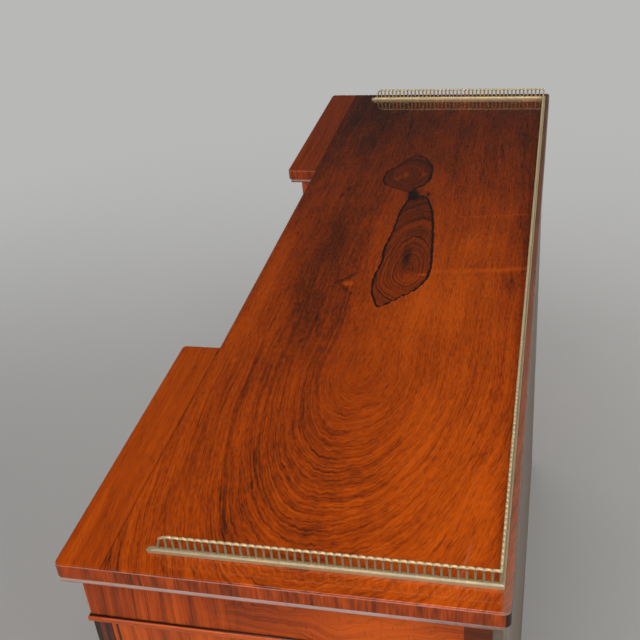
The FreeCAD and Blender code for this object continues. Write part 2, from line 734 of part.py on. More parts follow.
def panel_bead(side, between, face, lower, upper):
    """Four mitred lengths of bead on the panel's face, inside the frame."""
    low, high = between
    wide = f"({high} - {low})"
    tall = f"({upper} - {lower})"
    crest = number("panel_bead_height")
    inside = number("panel_bead_width")

    def on_inner_arris(one, other):
        return all(near(point.z, crest) and near(point.y, inside) for point in (one, other))

    runs = ((wide, low, lower, 0), (tall, high, lower, QUARTER_TURN),
            (wide, high, upper, HALF_TURN), (tall, low, upper, -QUARTER_TURN))
    beads = []
    for index, (length, x, z, angle) in enumerate(runs):
        bead = strip(f"{side}_panel_bead_{index}", length, "panel_bead_width", "panel_bead_height",
                     (OUTER, OUTER))
        rounded(bead, "panel_bead_radius", on_inner_arris)
        beads.append(place(bead, x, face, z, UPENDED.multiply(turned(angle))))
    keep(f"{side}_panel_bead", group(f"{side}_beads", beads))


def lock(side, sign):
    """A lock case on the back of the lock stile, its bolt, its key and the escutcheon in front."""
    x = on_side(sign, KEY_X)
    case_back = f"({DOOR_BACK} + lock_thickness)"
    chamber_front = f"({DOOR_BACK} + lock_thickness / 2 - lock_chamber_depth / 2)"
    bolt_back = f"({BOLT_FRONT} + bolt_thickness)"
    bolt_high = f"({BOLT_LOW} + bolt_height)"

    blank = board(f"{side}_lock_blank", mirrored(sign, LOCK_EDGE, f"({LOCK_EDGE} + lock_width)"),
                  (DOOR_BACK, case_back), ("(key_level - lock_drop)", "(key_level + lock_rise)"))
    channel = board(f"{side}_lock_channel",
                    mirrored(sign, f"({LOCK_EDGE} - overrun)", f"({LOCK_EDGE} + bolt_length + bolt_play)"),
                    (f"({BOLT_FRONT} - bolt_play)", f"({bolt_back} + bolt_play)"),
                    (f"({BOLT_LOW} - bolt_play)", f"({bolt_high} + bolt_play)"))
    chamber = board(f"{side}_lock_chamber", (f"({x} - lock_chamber_reach)", f"({x} + lock_chamber_reach)"),
                    (chamber_front, f"({chamber_front} + lock_chamber_depth)"),
                    ("(key_level - lock_chamber_reach)", "(key_level + lock_chamber_reach)"))
    hole = keyhole(f"{side}_lock_keyhole", sign, f"({DOOR_BACK} - overrun)",
                   f"({DOOR_BACK} + lock_thickness / 2)")
    way_in = fused(f"{side}_lock_way", [chamber, hole])
    keep(f"{side}_lock_case", cut(f"{side}_lock", blank, [channel, way_in]))

    keep(f"{side}_bolt", board(f"{side}_bolt_bar", mirrored(sign, LOCK_EDGE, f"({LOCK_EDGE} + bolt_length)"),
                               (BOLT_FRONT, bolt_back), (BOLT_LOW, bolt_high)))

    bow_middle = f"({WING_FRONT} - escutcheon_thickness - key_collar - key_bow_radius)"
    shank_start = f"({bow_middle} + key_bow_radius)"
    shank_stop = f"({chamber_front} + lock_chamber_depth / 2 + key_bit_width / 2)"
    disc = rod(f"{side}_key_disc", "(key_bow_radius + key_wire_radius)", "(2 * key_wire_radius)",
               f"({x} - key_wire_radius)", bow_middle, "key_level", "x")
    eye = rod(f"{side}_key_eye", "(key_bow_radius - key_wire_radius)", "(2 * key_wire_radius + 2 * overrun)",
              f"({x} - key_wire_radius - overrun)", bow_middle, "key_level", "x")
    bow = cut(f"{side}_key_bow", disc, [eye])
    shank = rod(f"{side}_key_shank", "key_radius", f"({shank_stop} - {shank_start})", x, shank_start,
                "key_level", "y")
    bit = board(f"{side}_key_bit", (f"({x} - key_bit_thickness / 2)", f"({x} + key_bit_thickness / 2)"),
                (f"({shank_stop} - key_bit_width)", shank_stop),
                ("(key_level - key_bit_length)", "key_level"))
    keep(f"{side}_key", fused(f"{side}_key_whole", [bow, shank, bit]))

    half = "escutcheon_width / 2"
    reach = "escutcheon_length / 2"
    corners = [("0", f"0 - {reach}"), (half, "0"), ("0", reach), (f"0 - {half}", "0")]
    lozenge = plate(f"{side}_escutcheon_lozenge", corners, "escutcheon_thickness")
    place(lozenge, x, WING_FRONT, "key_level", UPENDED)
    hole = keyhole(f"{side}_plate_keyhole", sign, f"({WING_FRONT} - escutcheon_thickness - overrun)",
                   f"({WING_FRONT} + overrun)")
    keep(f"{side}_escutcheon", cut(f"{side}_escutcheon_cut", lozenge, [hole]))


def write_parts():
    """Checks every object, then writes one file for each sub-part."""
    doc.recompute()
    for item in doc.Objects:
        if "Invalid" in item.State or "Error" in item.State:
            raise RuntimeError(f"{item.Label} is {item.State}")
    for name, piece in nodes.items():
        if piece.Shape.isNull() or not piece.Shape.isValid() or not piece.Shape.Solids:
            raise RuntimeError(f"{name} has no sound shape")
        if piece.Label != name:
            raise RuntimeError(f"{name} is labelled {piece.Label}")
    os.makedirs("parts", exist_ok=True)
    for name, piece in nodes.items():
        piece.Shape.exportStep(os.path.join("parts", f"{name}.step"))
    print(f"{len(nodes)} sub-parts")


top()
gallery_bases()
gallery_arcades()
mouldings()
frieze()
corner_blocks()
case_boards()
back_boards()
shelves()
plinth()
hinges()
for side, sign in SIDES:
    case_uprights(side, sign)
    door_frame(side, sign)
    lock(side, sign)
write_parts()
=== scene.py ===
import json
import math

import bmesh
import bpy
from mathutils import Matrix, Vector


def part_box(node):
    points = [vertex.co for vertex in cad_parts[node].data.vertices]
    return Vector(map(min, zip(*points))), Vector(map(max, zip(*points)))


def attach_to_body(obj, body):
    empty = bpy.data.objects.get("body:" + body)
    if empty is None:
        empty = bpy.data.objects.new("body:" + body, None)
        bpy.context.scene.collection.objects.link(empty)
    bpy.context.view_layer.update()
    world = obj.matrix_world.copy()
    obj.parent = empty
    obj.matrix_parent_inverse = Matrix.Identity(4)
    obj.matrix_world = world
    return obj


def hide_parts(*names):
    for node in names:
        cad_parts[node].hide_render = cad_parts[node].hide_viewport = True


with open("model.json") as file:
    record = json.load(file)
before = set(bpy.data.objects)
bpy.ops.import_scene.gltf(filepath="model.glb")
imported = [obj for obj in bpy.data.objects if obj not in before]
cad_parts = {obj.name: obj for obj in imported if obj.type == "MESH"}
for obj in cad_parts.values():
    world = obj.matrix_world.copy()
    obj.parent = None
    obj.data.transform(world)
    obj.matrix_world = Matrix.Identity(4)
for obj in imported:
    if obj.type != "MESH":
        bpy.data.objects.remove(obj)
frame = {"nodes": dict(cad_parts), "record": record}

bl_info = {
    "name": "Galleried chiffonier",
    "version": (1, 0, 0),
    "blender": (4, 5, 0),
    "location": "3D View > Sidebar > Chiffonier",
    "description": "Dresses a chiffonier with figured veneer, brass and the fine work of its gallery",
    "category": "Object",
}

MM = 0.001
UP = Vector((0, 0, 1))
TO_FRONT = Vector((0, -1, 0))
TO_BACK = Vector((0, 1, 0))
TO_RIGHT = Vector((1, 0, 0))
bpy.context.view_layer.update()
SIDES = (("left", -1), ("right", 1))
BODIES = frame["record"]["behaviour"]["bodies"]
BODY_OF = {node: body for body, members in BODIES.items() for node in members}
TOP_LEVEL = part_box("top_board")[1].z

# The shortest edge that is eased as an arris, and the least angle between its faces
ARRIS_LENGTH = 12 * MM
ARRIS_ANGLE = math.radians(60)

# Sizes of the fine work
TOP_ARRIS = 0.6 * MM
METAL_ARRIS = 0.4 * MM
BEAD_OUT = 2.4 * MM
BACK_BOARD_COUNT = 8
HINGE_HEIGHT = 64 * MM
LOOP_SUNK = 0.2 * MM
FASTENER_INSET = 4 * MM
SLOT_TURN = 2.1

# Sides of round things, and steps in their bends
HEAD_SIDES = 12
ROD_SIDES = 16
WIRE_SIDES = 6
BOW_STEPS = 28
LOOP_STEPS = 3
RAMP_STEPS = 5

# Shares of a head: its upright side, its flat face, and the half width, half length and depth of its slot
HEAD_SIDE = 0.6
HEAD_FACE = 0.85
SLOT_HALF = 0.17
SLOT_REACH = 0.72
SLOT_DEPTH = 0.8

# Shares of a ramped end: its bend in its length, and the height of the bend in its rise
RAMP_BEND = 0.35
RAMP_LOW = 0.87

# Heads of nails, pins and screws: radius and height
NAIL = (1.9 * MM, 0.4 * MM)
PIN = (0.8 * MM, 0.4 * MM)
HINGE_SCREW = (2.7 * MM, 0.2 * MM)
LOCK_SCREW = (2.2 * MM, 0.5 * MM)

# Screws of a hinge leaf: share of the leaf's height, and distance in from the end of the case
HINGE_SCREW_PLACES = ((0.15, 6 * MM), (0.5, 9.5 * MM), (0.85, 6 * MM))

# A key's collar, tip and wire: length of each turning, and its radius as a share of the fullest one
KEY_COLLAR = ((0.8 * MM, 0.95), (1.0 * MM, 1.0), (0.8 * MM, 0.75), (0.5 * MM, 0.95), (0.9 * MM, 0.95),
              (0.5 * MM, 0.8))
KEY_TIP = (0.5 * MM, 0.55)
KEY_WIRE = 0.6
KEY_BIT = (2.0 * MM, 4.0 * MM, 4.6 * MM)
KEY_NOTCH = 0.6 * MM

# The stage
FLOOR_RADIUS = 9.5
FLOOR_SIDES = 128
FLOOR_FADE = (1.1, 3.1)
SENSOR_WIDTH = 36.0

# Lights: name, place, target, size, the setting for its power, its share of that and its spread in degrees
LIGHTS = (
    ("overhead", (1.15, 0.35, 2.35), (0.6, 0.1, 0.9), (1.6, 1.6), "overhead", 1.0, 180),
    ("end_fill", (3.2, -0.2, 1.25), (0.4, 0.0, 0.7), (2.2, 1.0), "fill", 1.0, 180),
    ("far_fill", (-6.5, 0.0, 0.45), (0.0, 0.0, 0.5), (3.0, 0.8), "fill", 1.6, 180),
    ("front_fill", (0.2, -4.2, 0.45), (0.0, 0.0, 0.5), (3.0, 0.8), "fill", 1.3, 180),
    ("back_fill", (0.0, 4.2, 0.45), (0.0, 0.0, 0.5), (3.0, 0.8), "fill", 1.1, 180),
    ("floor_wash", (-5.6, 0.0, 3.6), (-5.6, 0.0, 0.0), (9.0, 5.0), "wash", 1.0, 70),
)


# Shader maths

class Wire:
    """An output socket of a finish, with sums on values written as Python expressions."""

    def __init__(self, finish, socket):
        self.finish = finish
        self.socket = socket

    def math(self, operation, *terms):
        return self.finish.node("Math", {"operation": operation}, dict(enumerate(terms)))

    def __add__(self, other):
        return self.math("ADD", self, other)

    def __radd__(self, other):
        return self.math("ADD", other, self)

    def __sub__(self, other):
        return self.math("SUBTRACT", self, other)

    def __rsub__(self, other):
        return self.math("SUBTRACT", other, self)

    def __mul__(self, other):
        return self.math("MULTIPLY", self, other)

    def __rmul__(self, other):
        return self.math("MULTIPLY", other, self)

    def __truediv__(self, other):
        return self.math("DIVIDE", self, other)

    def __rtruediv__(self, other):
        return self.math("DIVIDE", other, self)

    def __pow__(self, other):
        return self.math("POWER", self, other)

    def __neg__(self):
        return self.math("MULTIPLY", self, -1)

    def __abs__(self):
        return self.math("ABSOLUTE", self)

    def most(self, other):
        return self.math("MAXIMUM", self, other)

    def root(self):
        return self.math("SQRT", self)

    def exponent(self):
        return self.math("EXPONENT", self)

    def fraction(self):
        return self.math("FRACT", self)

    def whole(self):
        return self.math("FLOOR", self)

    def towards(self, other, share):
        """The value, moved to another one by a share."""
        return self * (1 - share) + share * other

    def step(self, low, high):
        """A soft step from 0 at low to 1 at high."""
        return self.finish.node("MapRange", {"interpolation_type": "SMOOTHSTEP"},
                                {"Value": self, "From Min": low, "From Max": high})

    def between(self, low, high, soft):
        """1 where the value lies between two others, which may be wires, with soft sides."""
        return (self - low).step(-soft, soft) * (high - self).step(-soft, soft)

    def seam(self, half):
        """A thin line where the value is nothing."""
        return abs(self).step(half, half * 0.3)

    def ridge(self, reach):
        """A soft line where the value is nothing."""
        return (-((self / reach) ** 2)).exponent()

    def trace(self, points):
        """A smooth line through points: the height that it has at the value."""
        xs = [point[0] for point in points]
        ys = [point[1] for point in points]
        left, low = min(xs), min(ys)
        wide, tall = max(xs) - left, max(ys) - low
        shares = [((px - left) / wide, (py - low) / tall) for px, py in points]
        curve = self.finish.node("FloatCurve", {"points": shares}, {"Value": (self - left) / wide})
        return curve * tall + low

    def ramp(self, stops):
        return self.finish.node("ValToRGB", {"stops": stops}, {0: self})

    def bump(self, strength, distance):
        return self.finish.node("Bump", None, {"Height": self, "Strength": strength, "Distance": distance})

    def other(self, output):
        """Another output of the same node."""
        return Wire(self.finish, self.socket.node.outputs[output])


class Finish:
    """A material, or the surroundings, under construction."""

    def __init__(self, name, kept_with=bpy.data.materials):
        self.owner = kept_with.new(name)
        self.owner.use_nodes = True
        self.tree = self.owner.node_tree
        self.tree.nodes.clear()

    def node(self, kind, options=None, sockets=None, output=0):
        """Adds a node of a type, with its options set first and then its sockets' values or links."""
        made = self.tree.nodes.new(f"ShaderNode{kind}")
        for key, value in (options or {}).items():
            if key == "stops":
                set_stops(made.color_ramp, value)
            elif key == "points":
                set_points(made.mapping, value)
            else:
                setattr(made, key, value)
        for key, value in (sockets or {}).items():
            if isinstance(value, Wire):
                self.tree.links.new(value.socket, made.inputs[key])
            else:
                made.inputs[key].default_value = value
        return Wire(self, made.outputs[output] if made.outputs else None)

    def place(self):
        """The three object coordinates, in metres."""
        x = self.node("SeparateXYZ", None, {0: self.node("TexCoord", output="Object")})
        return x, x.other(1), x.other(2)

    def done(self, **sockets):
        """Closes the finish with a shader whose sockets are given by name, with spaces as underscores."""
        named = {key.replace("_", " "): value for key, value in sockets.items()}
        shader = self.node("BsdfPrincipled", None, named)
        self.node("OutputMaterial", None, {"Surface": shader})
        return self.owner


def set_stops(ramp, stops):
    while len(ramp.elements) < len(stops):
        ramp.elements.new(1.0)
    for element, (place, colour) in zip(ramp.elements, stops):
        element.position = place
        element.color = (*colour, 1.0)


def set_points(mapping, points):
    curve = mapping.curves[0]
    curve.points[0].location = points[0]
    curve.points[1].location = points[-1]
    for place, height in points[1:-1]:
        curve.points.new(place, height)
    mapping.update()


def noise(x, y, z, detail=2.0, roughness=0.5):
    """A cloudy value that changes from point to point. The first of its coordinates is a wire."""
    vector = x.finish.node("CombineXYZ", None, {0: x, 1: y, 2: z})
    return x.finish.node("TexNoise", {"noise_dimensions": "3D"}, {
        "Vector": vector, "Scale": 1.0, "Detail": detail, "Roughness": roughness})


def mix(factor, one, other):
    """A mixture of two colours, each a wire or three numbers."""
    one, other = (shade if isinstance(shade, Wire) else (*shade, 1.0) for shade in (one, other))
    return factor.finish.node("Mix", {"data_type": "RGBA"}, {0: factor, 6: one, 7: other}, 2)


def spot(x, y, centre, reach):
    """A soft spot, 1 at its centre."""
    across = ((x - centre[0]) / reach[0]) ** 2
    along = ((y - centre[1]) / reach[1]) ** 2
    return (-(across + along)).exponent()


def spots(x, y, rows):
    """Soft spots added up, each a centre, a reach and a strength."""
    return sum(spot(x, y, centre, reach) * strength for centre, reach, strength in rows)


# What a user would change

def colour_setting(name, description, default):
    return bpy.props.FloatVectorProperty(name=name, description=description, subtype="COLOR",
                                         default=default)


def length_setting(name, description, default, least):
    return bpy.props.FloatProperty(name=name, description=description, subtype="DISTANCE", unit="LENGTH",
                                   default=default, min=least)


def power_setting(name, description, default):
    return bpy.props.FloatProperty(name=name, description=description, unit="POWER", default=default)


def angle_setting(name, description, degrees):
    return bpy.props.FloatProperty(name=name, description=description, subtype="ANGLE",
                                   default=math.radians(degrees))


class VeneerSettings(bpy.types.PropertyGroup):
    """Colours and polish of the rosewood."""

    pale: colour_setting("Pale wood", "Colour of the palest growth", (0.58, 0.088, 0.002))
    warm: colour_setting("Warm wood", "Colour of most of the wood", (0.35, 0.045, 0.001))
    dark: colour_setting("Dark wood", "Colour of the dark growth", (0.125, 0.020, 0.003))
    black: colour_setting("Black streak", "Colour of the blackest lines", (0.020, 0.008, 0.005))
    # This colour is partly wear and partly a painted highlight: it pales the bead's nose and the top's arris
    # where light catches them.
    rubbed: colour_setting("Rubbed wood", "Colour of mouldings rubbed pale", (0.42, 0.33, 0.29))
    polish: bpy.props.FloatProperty(
        name="Polish", description="Roughness of the polish over the veneer", subtype="FACTOR",
        default=0.06, min=0.0, max=1.0)
    arris: length_setting("Arris", "How far the arrises of the boards are eased", 0.5 * MM, 0.05 * MM)


class MetalSettings(bpy.types.PropertyGroup):
    """Colours of the brass and steel."""

    brass: colour_setting("Gallery brass", "Colour of the gallery's brass", (0.56, 0.42, 0.22))
    # The clean brass colour also paints a sheen toward the far end of the gallery and highlights on its
    # loops' heads.
    bright: colour_setting("Clean brass", "Colour of the gallery's cleanest brass", (0.74, 0.57, 0.31))
    # Painted shade: this colour darkens the gallery's posts below the lit heads.
    shaded_brass: colour_setting("Soiled brass", "Colour of brass that no cloth reaches", (0.20, 0.145, 0.070))
    tarnish: colour_setting("Tarnish", "Colour of dulled brass", (0.37, 0.30, 0.185))
    gilt: colour_setting("Lock brass", "Colour of cleaner brass", (0.72, 0.50, 0.21))
    dull_gilt: colour_setting("Dulled lock brass", "Colour of handled brass", (0.46, 0.31, 0.13))
    steel: colour_setting("Steel", "Colour of the steel", (0.40, 0.39, 0.38))
    dark_steel: colour_setting("Dark steel", "Colour of oxidised steel", (0.16, 0.15, 0.14))


class GallerySettings(bpy.types.PropertyGroup):
    """Sizes of the gallery's wire loops."""

    wire: length_setting("Wire", "Thickness of a loop's wire", 2.9 * MM, 0.2 * MM)
    pitch: length_setting("Pitch", "Distance from one loop to the next", 7.15 * MM, 2.0 * MM)
    bend: length_setting("Bend", "Radius of the bends in a loop's head", 2.6 * MM, 0.5 * MM)
    ramp: length_setting("Ramp", "Length of the ramped end of an arcade", 10.5 * MM, 1.0 * MM)


class StageSettings(bpy.types.PropertyGroup):
    """Floor, lights and camera."""

    floor: colour_setting("Floor", "Colour of the floor", (0.62, 0.61, 0.59))
    sky: colour_setting("Surroundings", "Colour of the dim light from above", (0.030, 0.034, 0.037))
    horizon: colour_setting("Horizon", "Colour all round at the height of the floor", (0.48, 0.48, 0.475))
    overhead: power_setting("Overhead light", "Power of the light above", 32.0)
    fill: power_setting("Fill light", "Power of the lights at the sides", 27.0)
    wash: power_setting("Floor wash", "Power of the light on the floor beyond", 85.0)
    spot: bpy.props.FloatVectorProperty(
        name="Camera place", description="Where the camera stands", subtype="TRANSLATION", unit="LENGTH",
        default=(1.2013, 0.2280, 1.5462))
    yaw: angle_setting("Camera yaw", "Turn of the view from the long way", 15.485)
    pitch: angle_setting("Camera pitch", "How far the camera looks down", 31.695)
    roll: angle_setting("Camera roll", "Lean of the picture", -5.64)
    lens: bpy.props.FloatProperty(
        name="Lens", description="Focal length on a 36 mm wide picture", unit="CAMERA", default=55.42)


class ChiffonierSettings(bpy.types.PropertyGroup):
    """All that can be changed."""

    veneer: bpy.props.PointerProperty(type=VeneerSettings)
    metal: bpy.props.PointerProperty(type=MetalSettings)
    gallery: bpy.props.PointerProperty(type=GallerySettings)
    stage: bpy.props.PointerProperty(type=StageSettings)


def settings():
    return bpy.context.scene.chiffonier


def middle_of(node):
    low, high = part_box(node)
    return (low + high) / 2


def metres(*points):
    """Points along and across the top, given in millimetres."""
    return [(along * MM, across * MM) for along, across in points]


# Lines of the top's figure
PATCH_UPPER = metres(
    (-335, 0), (-325, 10), (-305, 22), (-255, 33), (-215, 27), (-192, 14), (-180, 15), (-172, 34),
    (-150, 42), (-120, 50), (-50, 60), (0, 65), (60, 69), (100, 60), (130, 40), (150, 22), (157, 15))
PATCH_LOWER = metres(
    (-335, 0), (-320, -10), (-285, -25), (-240, -41), (-205, -25), (-190, 0), (-175, 9), (-160, 9),
    (-120, 4), (-50, 2), (0, -1), (40, 1), (80, -2), (110, 0), (140, 8), (157, 15))
DARK_LINE = metres((230, -110), (330, -106), (420, -98), (520, -75), (610, -46))
SHORT_LINE = metres((430, -67), (460, -61), (490, -51), (520, -38))

# Places on the top, in metres along and across it
HEART = (0.295, 0.016)
NEST = (0.50, 0.015)
ROUND_EYE = (-0.25, -0.005)
LONG_EYE = (0.068, 0.040)
NOTCH = (0.098, -0.047)
CREASE = (0.061, 0.080)
FAR_CREASE = 0.162
SCRATCH = (0.554, 0.168)
STRIP_JOINT = -0.1606
BACK_STRIP = 0.200

# Where the block at the back of the end frieze starts
FRIEZE_BLOCK = 0.168

# Soft spots on the top: centre, reach and strength. The long shade spot at the back is painted shade along
# the gallery.
SHADE_SPOTS = (
    ((0.03, -0.075), (0.19, 0.05), 0.17), ((-0.53, -0.11), (0.12, 0.05), 0.06),
    ((0.42, -0.06), (0.25, 0.11), 0.05), ((0.0, 0.20), (0.17, 0.018), 0.14),
    ((0.088, 0.174), (0.026, 0.015), 0.15))
GLOW_SPOTS = (
    ((0.145, 0.080), (0.06, 0.04), 0.12), ((0.50, 0.13), (0.14, 0.07), 0.09),
    ((0.13, -0.142), (0.16, 0.012), 0.12))
KNOTS = (
    ((0.503, -0.054), (0.007, 0.003), 0.14), ((-0.172, -0.096), (0.006, 0.003), 0.15),
    ((-0.196, -0.090), (0.006, 0.003), 0.15), ((-0.040, -0.138), (0.006, 0.003), 0.15))
PATCH_SPOTS = (
    ((0.022, 0.033), (0.024, 0.005), -0.20), ((-0.10, 0.036), (0.07, 0.03), -0.07),
    ((0.080, 0.044), (0.012, 0.011), 0.14), ((0.070, 0.061), (0.003, 0.006), 0.30),
    ((-0.252, -0.008), (0.011, 0.005), 0.16), ((-0.253, 0.022), (0.007, 0.004), 0.16),
    ((-0.238, -0.019), (0.007, 0.004), 0.16))
NECK_SPOTS = (
    ((-0.176, 0.016), (0.018, 0.008), 0.40), ((-0.168, 0.031), (0.007, 0.0022), 0.30),
    ((-0.180, 0.037), (0.007, 0.0022), 0.30))

# Colours that no setting holds
BARE_WOOD = ((0.13, 0.090, 0.062), (0.23, 0.170, 0.125), (0.32, 0.25, 0.19))
STAINED_WOOD = ((0.110, 0.046, 0.020), (0.215, 0.094, 0.042), (0.320, 0.158, 0.078))
PLAIN_STOPS = (0.28, 0.5, 0.72)
DUST = (0.27, 0.25, 0.225)
TOP_DUST = (0.30, 0.16, 0.11)
BLACK = (0.0, 0.0, 0.0)


# Finishes

def wood_stops(veneer):
    return [(0.20, veneer.black), (0.36, veneer.dark), (0.54, veneer.warm), (0.76, veneer.pale)]


def polished(finish, colour, grain, coat=1.0):
    """Closes a polished wood: a hard clear coat over the veneer, with the pores faintly drawn in it."""
    veneer = settings().veneer
    return finish.done(Base_Color=colour, Roughness=0.34 + 0.2 * (1 - grain), Specular_IOR_Level=0.1,
                       Coat_Weight=coat, Coat_Roughness=veneer.polish, Coat_IOR=1.5,
                       Normal=grain.bump(0.08, 0.2 * MM))


def patch_lines(x, y):
    """The two let-in dark patches: where they are filled and where their outlines run."""
    upper = x.trace(PATCH_UPPER)
    lower = x.trace(PATCH_LOWER)
    length = x.between(PATCH_UPPER[0][0], PATCH_UPPER[-1][0], 0.6 * MM)
    filled = y.between(lower, upper, 0.8 * MM) * length
    outline = (y - upper).seam(2.3 * MM).most((y - lower).seam(2.0 * MM)) * length
    return filled, outline


def broad_light(x, y, sway):
    """Broad lights and darks of the top, with two pale creases across its back, painted shade that deepens
    toward the far end and the front, and a painted shadow along the back gallery.
    """
    mottle = noise(x * 60.0, y * 90.0, 2.0, 3.0)
    rough = 0.08 + 0.10 * mottle.step(0.45, 0.75)
    shade = spots(x, y, SHADE_SPOTS)
    shade += spot(x, y, (0.215, -0.062), (0.09, 0.034)) * rough
    # Painted shade: darker toward the far end and toward the front, as the light falls off
    shade += x.step(0.15, -0.55) * 0.23 + y.step(0.13, -0.13) * 0.05
    # Painted shadow on the strip of top behind the back gallery
    shade += y.step(BACK_STRIP - 1.0 * MM, BACK_STRIP + 1.2 * MM) * 0.13
    fold = x - CREASE[0] + (y - CREASE[1]) * 0.14 + sway * (6 * MM)
    beside = fold.step(-6 * MM, 22 * MM) * spot(x, y, (0.08, 0.14), (0.07, 0.06))
    glow = spots(x, y, GLOW_SPOTS) + beside * 0.06
    glow += spot(x, y, (-0.01, 0.115), (0.05, 0.035)) * mottle * 0.16
    glow += fold.ridge(5 * MM) * y.step(0.055, 0.10) * mottle * 0.34
    glow += (fold + FAR_CREASE).ridge(3 * MM) * y.step(0.07, 0.12) * mottle * 0.16
    return glow - shade


def single_lines(x, y, teeth):
    """How dark the lines and knots are that stand on their own, round a small pale notch."""
    long = (y - x.trace(DARK_LINE)).seam(3.4 * MM)
    short = (y - x.trace(SHORT_LINE)).seam(2.4 * MM)
    notch = y - NOTCH[1] - abs(x - NOTCH[0]) * 0.72
    notch = (notch + teeth * (9 * MM)).seam(6 * MM)
    dark = long * x.between(0.25, 0.60, 20 * MM) * 0.10
    dark += short * x.between(0.445, 0.512, 10 * MM) * 0.15
    dark += notch * x.between(0.072, 0.124, 12 * MM) * 0.13
    dark -= spot(x, y, (0.100, -0.036), (0.006, 0.008)) * 0.26
    return dark + spots(x, y, KNOTS)


def patched(tone, x, y, sway, teeth, fibres):
    """Lets the two dark patches into the sheet, each grown round an eye of its own."""
    jag = noise(x * 110.0, y * 160.0, 6.0, 2.0) - 0.5
    filled, outline = patch_lines(x + jag * (9 * MM), y + jag * (5 * MM))
    round_turns = (((x - ROUND_EYE[0]) / 1.5) ** 2 + (y - ROUND_EYE[1]) ** 2).root()
    along = (LONG_EYE[0] - x).most(0.0) / 3.6 + (x - LONG_EYE[0]).most(0.0) / 1.8
    long_turns = (along ** 2 + (y - LONG_EYE[1]) ** 2).root()
    turns = x.step(-0.17, -0.18) * round_turns + x.step(-0.18, -0.17) * long_turns
    turns += sway * (10 * MM) + teeth * (3 * MM) + jag * (2 * MM)
    inner = noise(turns / (1.9 * MM), x * 5.0, 4.0, 3.0, 0.6)
    inside = 0.42 + (inner - 0.5) * 0.80 + (fibres - 0.5) * 0.24 - x.step(-0.16, -0.19) * 0.05
    inside += spots(x, y, PATCH_SPOTS)
    return tone.towards(inside, filled) - outline * 0.55 - spots(x, y, NECK_SPOTS)


